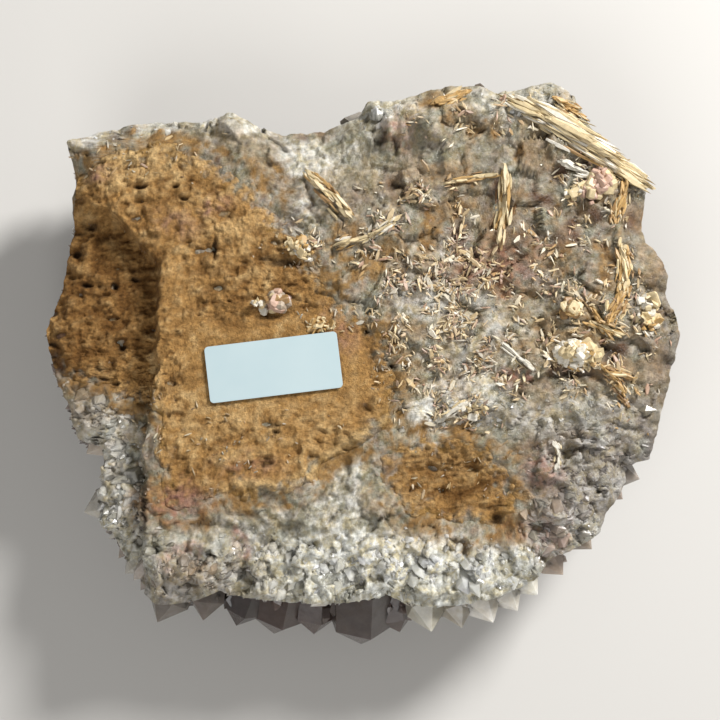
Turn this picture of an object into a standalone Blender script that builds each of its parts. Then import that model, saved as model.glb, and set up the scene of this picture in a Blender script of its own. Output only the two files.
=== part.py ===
"""Back of a milky quartz druse with barite blades, a limonite crust and a small bare label.

The plate lies on its crystals, so the broken matrix side faces up. Lengths below are in
millimetres in the plate's own frame: x to the right, y to the far edge, z up, with z = 0 at
the middle of the upper face. The finished model is moved so that the middle of its underside
is the origin.
"""

import math
import random

import bmesh
import bpy
from mathutils import Matrix, Vector

MM = 0.001

# Driving dimensions.
PLATE_DEPTH = 20.0
REST_DEPTH = 35.5
SEAT_GAP = 0.3
CRUST_DEPTH = 2.0
RIM_ROUNDING = 9.0
RIM_DROP = 5.0
HOLLOW_DROP = 6.5
HOLLOW_FAR_EDGE = 38.0
HOLLOW_END = 9.0
CLIFF_WIDTH = 3.0
ROOT_DEPTH = 3.0
BLADE_SINK = 2.4
REST_CRYSTAL_LENGTH = 27.0
WALL_CRYSTAL_LENGTH = 8.0
RIM_CRYSTAL_LENGTH = 4.0
LABEL_SIZE = (30.0, 12.8, 0.4)
LABEL_CENTRE = (-19.2, -1.8)
LABEL_TURN = 7.0
LABEL_CORNER = 1.4
LABEL_LEVEL = (5.0, 10.0)

# The height lattice: its step, how far it reaches from the middle, and how far the solids that
# only cut or trim reach up and down.
LATTICE_STEP = 6.0
LATTICE_REACH = (81.0, 72.0)
TRIM_REACH = 40.0

# Quartz grows with six sides and a six faced tip whose faces lean this far from its axis.
TIP_NORMAL_ANGLE = math.radians(51.79)
TIP_HEIGHT_PER_RADIUS = math.tan(TIP_NORMAL_ANGLE) * math.cos(math.radians(30.0))

# The plate's outer edge, clockwise from its upper left corner.
RIM = [
    (-68.2, 51.4), (-60.4, 53.9), (-50.6, 55.7), (-36.9, 56.0), (-29.6, 58.3), (-24.4, 55.3),
    (-17.8, 53.0), (-8.2, 54.2), (-0.2, 57.2), (2.1, 60.8), (10.3, 61.1), (18.7, 64.6),
    (28.3, 64.6), (31.9, 62.5), (38.3, 64.2), (44.9, 65.4), (50.2, 62.0), (53.4, 54.6),
    (63.4, 46.1), (67.1, 41.0), (65.4, 30.1), (71.6, 20.1), (70.9, 15.7), (73.9, 6.5),
    (72.0, -3.0), (68.9, -13.2), (67.0, -22.5), (60.9, -24.0), (61.5, -27.5), (57.0, -34.7),
    (55.1, -39.6), (43.5, -45.6), (40.5, -50.0), (30.0, -54.5), (14.0, -56.5), (6.0, -54.0),
    (-8.0, -55.5), (-22.0, -54.5), (-31.9, -53.0), (-38.2, -55.0), (-46.1, -56.0),
    (-51.5, -50.2), (-57.2, -40.7), (-61.0, -35.5), (-60.1, -26.9), (-59.5, -19.7),
    (-66.1, -18.1), (-68.6, -9.5), (-72.7, 1.9), (-73.6, 7.6), (-70.0, 17.1), (-67.5, 31.5),
    (-66.0, 43.5),
]

# How the outer wall draws in from the upper face to the crystal side.
WALL_LEVELS = [(12.0, 0.965), (-2.0, 0.985), (-6.0, 1.0), (-12.0, 0.975), (-PLATE_DEPTH, 0.93)]

# The cliff between the left hollow and the middle plateau, from far to near.
CLIFF = [(40.0, -57.0), (34.3, -55.2), (26.6, -49.9), (22.7, -45.4), (13.9, -44.7), (2.3, -45.4),
         (-9.3, -46.5), (-18.5, -47.7), (-37.0, -48.3), (-60.0, -46.5)]

# Rises and hollows of the upper face: centre, half widths and height.
MOUNDS = [
    (-29.6, 55.0, 6.0, 5.0, 2.0),
    (8.2, 54.4, 8.0, 7.0, 2.5),
    (16.2, 53.2, 4.5, 4.5, 3.5),
    (29.8, 59.0, 7.0, 4.0, 2.0),
    (46.0, 53.0, 14.0, 8.0, 2.0),
    (52.7, 6.9, 14.0, 18.0, 2.0),
    (18.5, 6.9, 22.0, 16.0, 1.0),
    (-19.2, 39.4, 5.0, 10.0, -1.5),
    (-6.6, 48.6, 8.0, 6.0, -1.5),
    (-48.5, 23.0, 3.5, 6.0, -1.5),
    (-72.0, 10.0, 9.0, 22.0, 2.5),
    (20.7, -29.0, 17.0, 10.0, -3.0),
    (3.0, -14.0, 9.0, 5.0, 1.2),
    (-16.0, -28.0, 12.0, 3.5, 1.5),
    (-2.0, -45.0, 40.0, 7.0, -2.5),
    (-57.0, -32.0, 7.0, 13.0, 2.5),
]

# Crust of iron oxide: the large sheet on the left and middle, and a patch at the near right.
CRUST_OUTLINE = [
    (-65.4, 49.1), (-54.5, 52.1), (-38.5, 53.2), (-27.6, 50.5), (-22.1, 39.4), (-20.7, 29.6),
    (-13.5, 22.7), (-3.2, 13.9), (5.9, 6.9), (8.2, -8.1), (-6.6, -23.2), (-15.7, -30.6),
    (-28.3, -30.1), (-36.3, -35.0), (-45.5, -35.5), (-47.0, -25.5), (-47.0, -12.7),
    (-57.9, -8.1), (-67.7, -4.2), (-78.0, 2.0), (-80.0, 12.0), (-78.0, 34.0), (-74.0, 46.0),
]
PATCH_OUTLINE = [
    (3.0, -22.0), (9.3, -16.7), (20.7, -15.7), (29.9, -18.5), (35.6, -24.3), (37.2, -32.4),
    (33.3, -38.9), (23.0, -39.4), (11.6, -35.9), (4.3, -30.1),
]

# Barite on the upper face. Each group lists its blades:
# middle x and y, length, width, thickness, turn on the face, lift of the far end in degrees.
BARITE_GROUPS = {
    "barite_band": [
        (42.0, 55.6, 17.0, 5.0, 2.0, -27.0, 2.0),
        (54.0, 48.2, 15.0, 5.2, 2.0, -36.0, 0.0),
        (62.0, 42.6, 9.0, 4.4, 1.8, -34.0, -3.0),
    ],
    "barite_rim_strand": [(59.6, 35.8, 9.0, 2.6, 1.6, -102.0, 0.0)],
    "barite_lens_blade": [(32.9, 34.6, 15.6, 2.8, 1.8, -98.0, 4.0)],
    "barite_thin_blade": [(26.0, 41.2, 11.0, 2.0, 1.4, 9.0, 3.0)],
    "barite_diagonal_blade": [(-7.0, 37.6, 13.2, 3.4, 1.8, -46.0, 4.0)],
    "barite_curved_blade": [
        (-1.5, 27.0, 10.0, 1.9, 1.4, 10.0, 0.0),
        (5.2, 29.6, 9.5, 1.9, 1.4, 32.0, 3.0),
    ],
    "barite_side_blade": [(48.9, 43.3, 7.6, 2.4, 1.5, -24.0, 4.0)],
    "barite_block_cluster": [
        (54.8, 40.6, 5.6, 5.0, 3.4, 20.0, 8.0),
        (52.8, 37.4, 5.6, 5.0, 2.6, 50.0, 6.0),
        (50.4, 38.2, 4.8, 3.0, 2.0, 20.0, 0.0),
    ],
    "barite_feather_band": [
        (59.6, 20.4, 13.0, 3.0, 1.8, -84.0, 2.0),
        (58.2, 12.6, 10.5, 3.2, 1.8, -115.0, 0.0),
    ],
    "barite_leaf_cluster": [
        (64.4, 11.4, 7.0, 3.8, 2.6, 60.0, 14.0),
        (66.2, 9.0, 6.0, 3.2, 2.6, 110.0, 12.0),
        (63.0, 7.6, 5.0, 3.0, 2.2, 10.0, 8.0),
    ],
    "barite_cream_knob": [
        (47.6, 1.6, 9.0, 6.6, 4.6, 8.0, 6.0),
        (51.8, 0.6, 6.4, 4.8, 3.4, -30.0, 0.0),
    ],
    "barite_tan_nugget": [(47.2, 10.9, 6.2, 3.8, 2.6, -12.0, 4.0)],
    "barite_crossed_blades": [
        (54.4, 8.4, 8.6, 1.8, 2.0, -56.0, 6.0),
        (55.0, 6.8, 8.4, 2.0, 2.0, -20.0, 2.0),
    ],
    "barite_spray": [
        (56.4, -4.2, 7.4, 1.8, 2.0, -50.0, 8.0),
        (58.2, -3.4, 7.0, 1.8, 1.8, -20.0, 6.0),
    ],
    "barite_near_blade": [(58.6, -8.6, 5.6, 1.6, 1.5, -45.0, 4.0)],
    "barite_white_splinter": [(35.6, 0.4, 8.6, 2.0, 1.8, -42.0, 8.0)],
    "barite_white_curve": [(44.1, -21.4, 6.0, 2.2, 1.6, 80.0, 6.0)],
    "barite_white_blade": [
        (21.4, -11.6, 7.6, 2.6, 1.8, 33.0, 4.0),
        (24.8, -11.8, 8.4, 4.2, 1.8, 4.0, 0.0),
    ],
    "barite_grey_knob": [
        (-18.6, 13.0, 7.6, 6.0, 3.8, 20.0, 6.0),
        (-22.4, 12.2, 5.0, 2.4, 2.8, 150.0, 12.0),
    ],
    "barite_yellow_cluster": [
        (-14.6, 26.4, 6.4, 3.6, 2.4, 30.0, 8.0),
        (-12.4, 24.4, 6.0, 3.4, 2.2, -35.0, 6.0),
    ],
    "barite_pale_patch": [(-8.4, 7.8, 6.4, 3.4, 1.5, 12.0, 0.0)],
    "barite_top_splinter": [(21.0, 60.2, 8.0, 3.4, 2.0, 24.0, 4.0)],
}

# Quartz crystals that show past the rim: tip x, y and z, radius, heading and dip in degrees.
RIM_CRYSTALS = [
    (-63.0, -34.0, -12.0, 5.0, 200.0, 12.0),
    (-62.6, -20.6, -11.0, 4.0, 215.0, 15.0),
    (64.3, -26.4, -10.0, 4.6, -20.0, 10.0),
    (60.4, -31.0, -11.0, 4.4, -40.0, 15.0),
    (-46.0, -59.0, -11.0, 6.0, 245.0, 18.0),
    (-35.6, -58.6, -12.0, 4.4, 262.0, 20.0),
    (-53.5, -48.0, -12.0, 4.6, 225.0, 10.0),
    (16.4, -60.4, -9.0, 6.2, -80.0, 15.0),
    (30.4, -58.4, -9.0, 5.0, -65.0, 15.0),
    (40.6, -52.4, -11.0, 5.0, -50.0, 12.0),
    (53.0, -42.0, -10.0, 4.4, -45.0, 15.0),
    (9.5, -61.5, -22.0, 5.2, -76.0, 30.0),
    (0.5, -64.4, -27.0, 8.4, -92.0, 42.0),
    (-10.5, -62.0, -23.0, 5.6, -94.0, 32.0),
    (-20.0, -62.0, -27.0, 7.6, -104.0, 40.0),
    (-28.5, -60.0, -21.0, 4.8, -112.0, 28.0),
    (44.5, -45.5, -24.0, 5.4, -48.0, 40.0),
    (28.0, -54.5, -25.0, 6.8, -62.0, 42.0),
    (-42.0, -55.5, -25.0, 6.6, 240.0, 42.0),
]

# Big crystals that the plate rests on: x and y of the face on the ground, lean and radius.
REST_CRYSTALS = [
    (37.0, 28.0, 66.0, 8.2),
    (-38.0, 29.0, 172.0, 7.8),
    (-34.0, -33.0, 206.0, 8.4),
    (34.0, -30.0, 350.0, 7.8),
]

# Druse crystals on the underside, big ones first: spacing, smallest and largest radius.
DRUSE_SIZES = [(15.0, 6.4, 8.4), (9.0, 3.4, 4.6)]
DRUSE_ROWS = 9
ROW_SPACING = 0.87
PLACE_JITTER = 0.17
CROWDING = 0.62
LOWEST_DRUSE_GAP = 1.2

# Crystals of the outer wall: the shortest stretch of rim that has one, the room they leave to the
# crystals that show past the rim, and how far out on the rim line they stand.
WALL_STRETCH = 5.0
WALL_CLEARANCE = 7.0
WALL_SHARE = 0.985

# Crested barite groups on the crystal side: x, y, lowest z, heading of the crest, radius.
CRESTS = [
    ("barite_crest_far", 4.0, 34.0, -33.0, 25.0, 9.5),
    ("barite_crest_left", -44.0, -2.0, -32.5, 70.0, 9.0),
    ("barite_crest_near", 6.0, -39.0, -33.5, -14.0, 9.5),
]
CREST_PLATE_THICKNESS = 1.5
CREST_CLEARANCE = 2.0

# The rounded plates of a crested group: turn and lean in degrees, shift across. Each is smaller
# than the one before it.
CREST_FAN = [(0.0, 0.0, 0.0), (12.0, 16.0, 2.6), (-14.0, -18.0, -2.8), (62.0, 6.0, 0.5)]
CREST_STEP = 0.7

COLOURS = {
    "milky_quartz": ((0.52, 0.49, 0.46, 1.0), 0.25),
    "limonite": ((0.36, 0.20, 0.07, 1.0), 0.9),
    "barite": ((0.74, 0.60, 0.38, 1.0), 0.45),
    "label_paper": ((0.80, 0.86, 0.90, 1.0), 0.55),
}


def smooth_step(value, start, end):
    share = min(max((value - start) / (end - start), 0.0), 1.0)
    return share * share * (3.0 - 2.0 * share)


def edge_distance(x, y, outline):
    """Distance from a point to the nearest side of a closed outline."""
    nearest = math.inf
    for (ax, ay), (bx, by) in zip(outline, outline[1:] + outline[:1]):
        dx, dy = bx - ax, by - ay
        along = ((x - ax) * dx + (y - ay) * dy) / (dx * dx + dy * dy)
        along = min(max(along, 0.0), 1.0)
        nearest = min(nearest, math.hypot(x - ax - along * dx, y - ay - along * dy))
    return nearest


def inside(x, y, outline):
    crossings = False
    for (ax, ay), (bx, by) in zip(outline, outline[1:] + outline[:1]):
        if (ay > y) != (by > y) and x < ax + (y - ay) * (bx - ax) / (by - ay):
            crossings = not crossings
    return crossings


def cliff_x(y):
    """Where the cliff runs at a given y."""
    for (far_y, far_x), (near_y, near_x) in zip(CLIFF, CLIFF[1:]):
        if near_y <= y <= far_y:
            return near_x + (far_x - near_x) * (y - near_y) / (far_y - near_y)
    return CLIFF[0][1] if y > CLIFF[0][0] else CLIFF[-1][1]


def relief(x, y):
    """Height of the upper face above the plate's zero."""
    height = -HOLLOW_DROP * smooth_step(cliff_x(y) - x, 0.0, CLIFF_WIDTH)
    height *= smooth_step(HOLLOW_FAR_EDGE - y, 0.0, HOLLOW_END)
    for centre_x, centre_y, half_x, half_y, rise in MOUNDS:
        height += rise * math.exp(-((x - centre_x) / half_x) ** 2 - ((y - centre_y) / half_y) ** 2)
    rim_gap = edge_distance(x, y, RIM) if inside(x, y, RIM) else 0.0
    height -= RIM_DROP * max(0.0, 1.0 - rim_gap / RIM_ROUNDING) ** 2
    turn = math.radians(-LABEL_TURN)
    dx, dy = x - LABEL_CENTRE[0], y - LABEL_CENTRE[1]
    across = abs(dx * math.cos(turn) - dy * math.sin(turn)) - LABEL_SIZE[0] / 2.0
    along = abs(dx * math.sin(turn) + dy * math.cos(turn)) - LABEL_SIZE[1] / 2.0
    level = 1.0 - smooth_step(max(across, along), *LABEL_LEVEL)
    return height * (1.0 - level)


def material(name):
    colour, roughness = COLOURS[name]
    made = bpy.data.materials.new(name)
    made.use_nodes = True
    shader = made.node_tree.nodes["Principled BSDF"]
    shader.inputs["Base Color"].default_value = colour
    shader.inputs["Roughness"].default_value = roughness
    shader.inputs["Metallic"].default_value = 0.0
    made.diffuse_color = colour
    return made


def add_object(name, bm, collection, surface):
    """Make an object from a mesh drawn in millimetres and let it hang on the frame."""
    bmesh.ops.scale(bm, vec=(MM, MM, MM), verts=bm.verts)
    mesh = bpy.data.meshes.new(name)
    bm.to_mesh(mesh)
    bm.free()
    made = bpy.data.objects.new(name, mesh)
    collection.objects.link(made)
    made.parent = FRAME
    if surface is not None:
        made.data.materials.append(surface)
    return made


def add_tool(name, bm):
    """A solid that only cuts, trims or joins others."""
    made = add_object(name, bm, TOOLS, None)
    made.hide_render = True
    made.display_type = "WIRE"
    return made


def boolean(target, tool, operation):
    modifier = target.modifiers.new(operation.lower() + "_" + tool.name, "BOOLEAN")
    modifier.operation = operation
    modifier.solver = "EXACT"
    modifier.object = tool


def lattice_block(top, bottom):
    """A block whose upper and lower faces follow two height functions on one lattice."""
    half_x, half_y = LATTICE_REACH
    bm = bmesh.new()
    columns, rows = round(2 * half_x / LATTICE_STEP), round(2 * half_y / LATTICE_STEP)
    bmesh.ops.create_grid(bm, x_segments=columns, y_segments=rows, size=1.0)
    bmesh.ops.scale(bm, vec=(half_x, half_y, 1.0), verts=bm.verts)
    bmesh.ops.triangulate(bm, faces=bm.faces, quad_method="FIXED")
    upper = list(bm.verts)
    grown = bmesh.ops.extrude_face_region(bm, geom=bm.faces[:])
    lower = [item for item in grown["geom"] if isinstance(item, bmesh.types.BMVert)]
    for vert in upper:
        vert.co.z = top(vert.co.x, vert.co.y)
    for vert in lower:
        vert.co.z = bottom(vert.co.x, vert.co.y)
    bmesh.ops.recalc_face_normals(bm, faces=bm.faces)
    return bm


def outline_prism(outline, levels):
    """An outline drawn up through levels, each with its own height and scale."""
    bm = bmesh.new()
    first_height, first_scale = levels[0]
    ring = [bm.verts.new((x * first_scale, y * first_scale, first_height)) for x, y in outline]
    face = bmesh.ops.contextual_create(bm, geom=ring)["faces"][0]
    scale_now = first_scale
    bmesh.ops.extrude_face_region(bm, geom=[face])
    for height, scale in levels[1:]:
        face = bmesh.ops.extrude_discrete_faces(bm, faces=[face])["faces"][0]
        for vert in face.verts:
            vert.co.x *= scale / scale_now
            vert.co.y *= scale / scale_now
            vert.co.z = height
        scale_now = scale
    bmesh.ops.recalc_face_normals(bm, faces=bm.faces)
    return bm


def grown_outline(outline, margin):
    """The outline moved outwards by a margin along its corner directions."""
    area = sum(ax * by - bx * ay for (ax, ay), (bx, by) in zip(outline, outline[1:] + outline[:1]))
    side = math.copysign(1.0, area)
    moved = []
    for index, here in enumerate(outline):
        before, after = Vector(outline[index - 1]), Vector(outline[(index + 1) % len(outline)])
        here = Vector(here)
        first = (here - before).normalized()
        second = (after - here).normalized()
        normal = Vector((first.y + second.y, -first.x - second.x)).normalized() * side
        lean = max(0.5, normal.dot(Vector((first.y, -first.x)) * side))
        moved.append(tuple(here + normal * margin / lean))
    return moved


def crystal(bm, tip, axis, side, radius, length):
    """A six sided prism with a pointed tip. The axis points to the tip, side to one face."""
    axis = axis.normalized()
    side = (side - axis * side.dot(axis)).normalized()
    turned = Matrix((side, axis.cross(side), axis)).transposed().to_4x4()
    made = bmesh.ops.create_cone(
        bm, cap_ends=True, segments=6, radius1=radius, radius2=radius, depth=length
    )
    verts = made["verts"]
    top = [vert for vert in verts if vert.co.z > 0.0]
    cap = next(face for face in top[0].link_faces if all(vert in top for vert in face.verts))
    poked = bmesh.ops.poke(bm, faces=[cap])
    point = poked["verts"][0]
    point.co.z += radius * TIP_HEIGHT_PER_RADIUS
    tip_now = Vector((0.0, 0.0, length / 2.0 + radius * TIP_HEIGHT_PER_RADIUS))
    place = Matrix.Translation(tip) @ turned @ Matrix.Translation(-tip_now)
    bmesh.ops.transform(bm, matrix=place, verts=verts + [point])


def heading_vector(heading, dip):
    """Unit vector along a compass heading on the face, dipping below it."""
    heading, dip = math.radians(heading), math.radians(dip)
    return Vector((math.cos(heading) * math.cos(dip), math.sin(heading) * math.cos(dip),
                   -math.sin(dip)))


def rest_crystal_axes(lean):
    """Axis and side direction that turn one tip face straight down."""
    out = heading_vector(lean, 0.0)
    down = Vector((0.0, 0.0, -1.0))
    axis = down * math.cos(TIP_NORMAL_ANGLE) + out * math.sin(TIP_NORMAL_ANGLE)
    side = down * math.sin(TIP_NORMAL_ANGLE) - out * math.cos(TIP_NORMAL_ANGLE)
    return axis, side


def meets_crest(tip, root, radius):
    """Whether a crystal would grow into the room that a crested group takes."""
    for _, x, y, _, _, crest_radius in CRESTS:
        for share in (0.0, 0.5, 1.0):
            point = tip.lerp(root, share)
            if math.hypot(point.x - x, point.y - y) < crest_radius + radius + CREST_CLEARANCE:
                return True
    return False


def crowded(tip, radius, crystals):
    """Whether a crystal that is already there takes this tip's place."""
    for other, axis, _, other_radius, length in crystals:
        for share in (0.0, 0.5, 1.0):
            point = other - axis * share * (length + other_radius)
            if math.hypot(tip.x - point.x, tip.y - point.y) < CROWDING * (other_radius + radius):
                return True
    return False


def druse_crystals():
    """Tips, axes and sizes of all crystals on the underside and along the rim."""
    seeded = random.Random(22)
    crystals = []
    for x, y, lean, radius in REST_CRYSTALS:
        axis, side = rest_crystal_axes(lean)
        middle = Vector((x, y, -REST_DEPTH))
        slant = radius * math.cos(math.radians(30.0)) / math.cos(TIP_NORMAL_ANGLE)
        slope = (axis - Vector((0.0, 0.0, -1.0)) * axis.dot(Vector((0.0, 0.0, -1.0)))).normalized()
        tip = middle + slope * slant * 2.0 / 3.0
        crystals.append((tip, axis, side, radius, REST_CRYSTAL_LENGTH))
    for spacing, small, large in DRUSE_SIZES:
        for row in range(-DRUSE_ROWS, DRUSE_ROWS + 1):
            for column in range(-DRUSE_ROWS, DRUSE_ROWS + 1):
                x = (column + 0.5 * (row % 2)) * spacing
                x += seeded.uniform(-PLACE_JITTER, PLACE_JITTER) * spacing
                y = row * spacing * ROW_SPACING
                y += seeded.uniform(-PLACE_JITTER, PLACE_JITTER) * spacing
                radius = seeded.uniform(small, large)
                out = math.degrees(math.atan2(y, x)) + seeded.uniform(-40.0, 40.0)
                dip = 80.0 - 34.0 * math.hypot(x, y) / 74.0 - seeded.uniform(0.0, 10.0)
                depth = -PLATE_DEPTH - radius * seeded.uniform(1.2, 1.75)
                if not inside(x, y, RIM) or edge_distance(x, y, RIM) < radius:
                    continue
                axis = heading_vector(out, dip)
                tip = Vector((x, y, max(depth, LOWEST_DRUSE_GAP - REST_DEPTH)))
                reach = max(2.0, (-tip.z - PLATE_DEPTH + ROOT_DEPTH) / -axis.z
                            - radius * TIP_HEIGHT_PER_RADIUS)
                root = tip - axis * (reach + radius)
                if meets_crest(tip, root, radius) or crowded(tip, radius, crystals):
                    continue
                side = heading_vector(out + 90.0 + seeded.uniform(-40.0, 40.0), 0.0)
                crystals.append((tip, axis, side, radius, reach))
    for x, y, z, radius, heading, dip in RIM_CRYSTALS:
        axis = heading_vector(heading, dip)
        side = heading_vector(heading + 90.0, 20.0)
        crystals.append((Vector((x, y, z)), axis, side, radius, RIM_CRYSTAL_LENGTH + radius))
    return crystals


def side_wall_crystals():
    """Short crystals all round the outer wall, kept inside the rim line."""
    seeded = random.Random(7)
    crystals = []
    count = len(RIM)
    for index in range(count):
        (ax, ay), (bx, by) = RIM[index], RIM[(index + 1) % count]
        length = math.hypot(bx - ax, by - ay)
        if length < WALL_STRETCH:
            continue
        x, y = (ax + bx) / 2.0, (ay + by) / 2.0
        if any(math.hypot(x - c[0], y - c[1]) < WALL_CLEARANCE for c in RIM_CRYSTALS):
            continue
        outward = math.degrees(math.atan2(bx - ax, ay - by)) + seeded.uniform(-20.0, 20.0)
        dip = seeded.uniform(20.0, 45.0)
        axis = heading_vector(outward, dip)
        height = min(-14.0, relief(x, y) - 9.0) - seeded.uniform(0.0, 5.0)
        tip = Vector((x * WALL_SHARE, y * WALL_SHARE, height))
        side = heading_vector(outward + 90.0, 10.0)
        radius = seeded.uniform(4.0, 5.4)
        root = tip - axis * (WALL_CRYSTAL_LENGTH + radius * TIP_HEIGHT_PER_RADIUS)
        middle = tip.lerp(root, 0.5)
        ground = min(relief(root.x, root.y), relief(middle.x, middle.y))
        tip.z -= max(0.0, root.z + radius - ground + 2.0 * CRUST_DEPTH)
        crystals.append((tip, axis, side, radius, WALL_CRYSTAL_LENGTH))
    return crystals


def blade(bm, length, width, thickness):
    """An eight sided tablet with a slightly smaller upper face."""
    made = bmesh.ops.create_cone(
        bm, cap_ends=True, segments=8, radius1=0.5, radius2=0.36, depth=1.0
    )
    bmesh.ops.scale(bm, vec=(length, width, thickness), verts=made["verts"])
    return made["verts"]


def blade_mesh(parts):
    """One blade of a barite group, set on the upper face."""
    x, y, length, width, thickness, turn, lift = parts
    bm = bmesh.new()
    verts = blade(bm, length, width, thickness + BLADE_SINK)
    footing = max(
        relief(x + side * length * 0.35 * math.cos(math.radians(turn)),
               y + side * length * 0.35 * math.sin(math.radians(turn)))
        for side in (-1.0, 0.0, 1.0)
    )
    middle = Vector((x, y, footing + (thickness - BLADE_SINK) / 2.0 + SEAT_GAP))
    place = (
        Matrix.Translation(middle)
        @ Matrix.Rotation(math.radians(turn), 4, "Z")
        @ Matrix.Rotation(math.radians(-lift), 4, "Y")
    )
    bmesh.ops.transform(bm, matrix=place, verts=verts)
    return bm


def crest_mesh(heading, radius, turn, lean):
    """One rounded plate of a crested group, standing on edge."""
    bm = bmesh.new()
    made = bmesh.ops.create_cone(
        bm, cap_ends=True, segments=12, radius1=radius, radius2=radius,
        depth=CREST_PLATE_THICKNESS,
    )
    place = (
        Matrix.Rotation(math.radians(heading + turn), 4, "Z")
        @ Matrix.Rotation(math.radians(90.0 + lean), 4, "X")
    )
    bmesh.ops.transform(bm, matrix=place, verts=made["verts"])
    return bm


def remove_everything():
    for item in list(bpy.data.objects):
        bpy.data.objects.remove(item, do_unlink=True)


def make_quartz_plate():
    """The plate with pockets for the crusts and with all its crystals joined on."""
    plate = add_object(
        "quartz_plate", lattice_block(relief, lambda x, y: -PLATE_DEPTH - 6.0), OBJECT,
        material("milky_quartz"),
    )
    boolean(plate, WALL, "INTERSECT")
    for name, outline in (("crust_pocket", CRUST_OUTLINE), ("patch_pocket", PATCH_OUTLINE)):
        pocket = add_tool(name, lattice_block(
            lambda x, y: 30.0, lambda x, y: relief(x, y) - CRUST_DEPTH - SEAT_GAP))
        edge = add_tool(name + "_edge", outline_prism(
            grown_outline(outline, SEAT_GAP), [(TRIM_REACH, 1.0), (-TRIM_REACH, 1.0)]))
        boolean(pocket, edge, "INTERSECT")
        boolean(plate, pocket, "DIFFERENCE")
    for index, shape in enumerate(druse_crystals() + side_wall_crystals()):
        bm = bmesh.new()
        crystal(bm, *shape)
        boolean(plate, add_tool(f"crystal_{index:03d}", bm), "UNION")


def make_crust(name, outline, surface):
    """A sheet of even thickness that follows the upper face inside an outline."""
    crust = add_object(
        name, lattice_block(relief, lambda x, y: relief(x, y) - CRUST_DEPTH), OBJECT, surface
    )
    levels = [(TRIM_REACH, 1.0), (-TRIM_REACH, 1.0)]
    edge = add_tool(name + "_edge", outline_prism(outline, levels))
    boolean(crust, edge, "INTERSECT")
    boolean(crust, WALL, "INTERSECT")


def make_barite(surface):
    """Each group of blades is one solid, cut off just above the face that it sits on."""
    for name, blades in BARITE_GROUPS.items():
        group = add_object(name, blade_mesh(blades[0]), OBJECT, surface)
        for index, parts in enumerate(blades[1:]):
            boolean(group, add_tool(f"{name}_{index}", blade_mesh(parts)), "UNION")
        boolean(group, SEAT, "DIFFERENCE")


def make_crests(surface):
    """Fans of rounded plates that hang from the plate among the crystals."""
    for name, x, y, lowest, heading, radius in CRESTS:
        middle = Vector((x, y, lowest + radius))
        for index, (turn, lean, shift) in enumerate(CREST_FAN):
            bm = crest_mesh(heading, radius - CREST_STEP * index, turn, lean)
            across = heading_vector(heading + 90.0, 0.0) * shift
            bmesh.ops.translate(bm, vec=middle + across, verts=bm.verts)
            if index == 0:
                group = add_object(name, bm, OBJECT, surface)
            else:
                boolean(group, add_tool(f"{name}_{index}", bm), "UNION")
        boolean(group, UNDERSIDE, "DIFFERENCE")


def make_label():
    """A thin sheet with rounded corners that lies on the level part of the crust."""
    length, width, thickness = LABEL_SIZE
    bm = bmesh.new()
    made = bmesh.ops.create_cube(bm, size=1.0)
    bmesh.ops.scale(bm, vec=(length, width, thickness), verts=made["verts"])
    corners = [edge for edge in bm.edges if abs(edge.verts[0].co.z - edge.verts[1].co.z) > 0.1]
    bmesh.ops.bevel(bm, geom=corners, offset=LABEL_CORNER, segments=4, profile=0.5,
                    affect="EDGES", material=-1)
    place = Matrix.Translation((*LABEL_CENTRE, SEAT_GAP + thickness / 2.0))
    bmesh.ops.transform(bm, matrix=place @ Matrix.Rotation(math.radians(LABEL_TURN), 4, "Z"),
                        verts=bm.verts)
    add_object("catalogue_label", bm, OBJECT, material("label_paper"))


def centre_on_underside():
    """Move the frame so that the middle of the model's underside is the origin."""
    bpy.context.view_layer.update()
    graph = bpy.context.evaluated_depsgraph_get()
    lowest, highest = Vector((math.inf,) * 3), Vector((-math.inf,) * 3)
    for item in OBJECT.objects:
        for vert in item.evaluated_get(graph).data.vertices:
            for axis in range(3):
                lowest[axis] = min(lowest[axis], vert.co[axis])
                highest[axis] = max(highest[axis], vert.co[axis])
    FRAME.location = (-(lowest.x + highest.x) / 2.0, -(lowest.y + highest.y) / 2.0, -lowest.z)
    bpy.context.view_layer.update()


remove_everything()
OBJECT = bpy.data.collections.new("quartz_druse_with_barite")
TOOLS = bpy.data.collections.new("cutters")
bpy.context.scene.collection.children.link(OBJECT)
bpy.context.scene.collection.children.link(TOOLS)
FRAME = bpy.data.objects.new("plate_frame", None)
bpy.context.scene.collection.objects.link(FRAME)

WALL = add_tool("outer_wall", outline_prism(RIM, WALL_LEVELS))
SEAT = add_tool("raised_face", lattice_block(
    lambda x, y: relief(x, y) + SEAT_GAP, lambda x, y: -30.0))
UNDERSIDE = add_tool("lowered_underside", lattice_block(
    lambda x, y: 20.0, lambda x, y: -PLATE_DEPTH - SEAT_GAP))

LIMONITE = material("limonite")
BARITE = material("barite")
make_quartz_plate()
make_crust("limonite_crust", CRUST_OUTLINE, LIMONITE)
make_crust("limonite_patch", PATCH_OUTLINE, LIMONITE)
make_barite(BARITE)
make_crests(BARITE)
make_label()
centre_on_underside()
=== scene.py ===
"""Back of a milky quartz druse with an ochre crust, barite blades and a small bare label.

The specimen lies on its crystals, so the broken side that grew on the rock faces up. Lengths are
in millimetres in the plate's own frame: x to the right, y to the far edge, z up, with z = 0 at
the middle of the upper face.
"""

import math
import random

import bmesh
import bpy
import numpy as np
from mathutils import Matrix, Vector, noise
from mathutils.bvhtree import BVHTree


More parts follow.
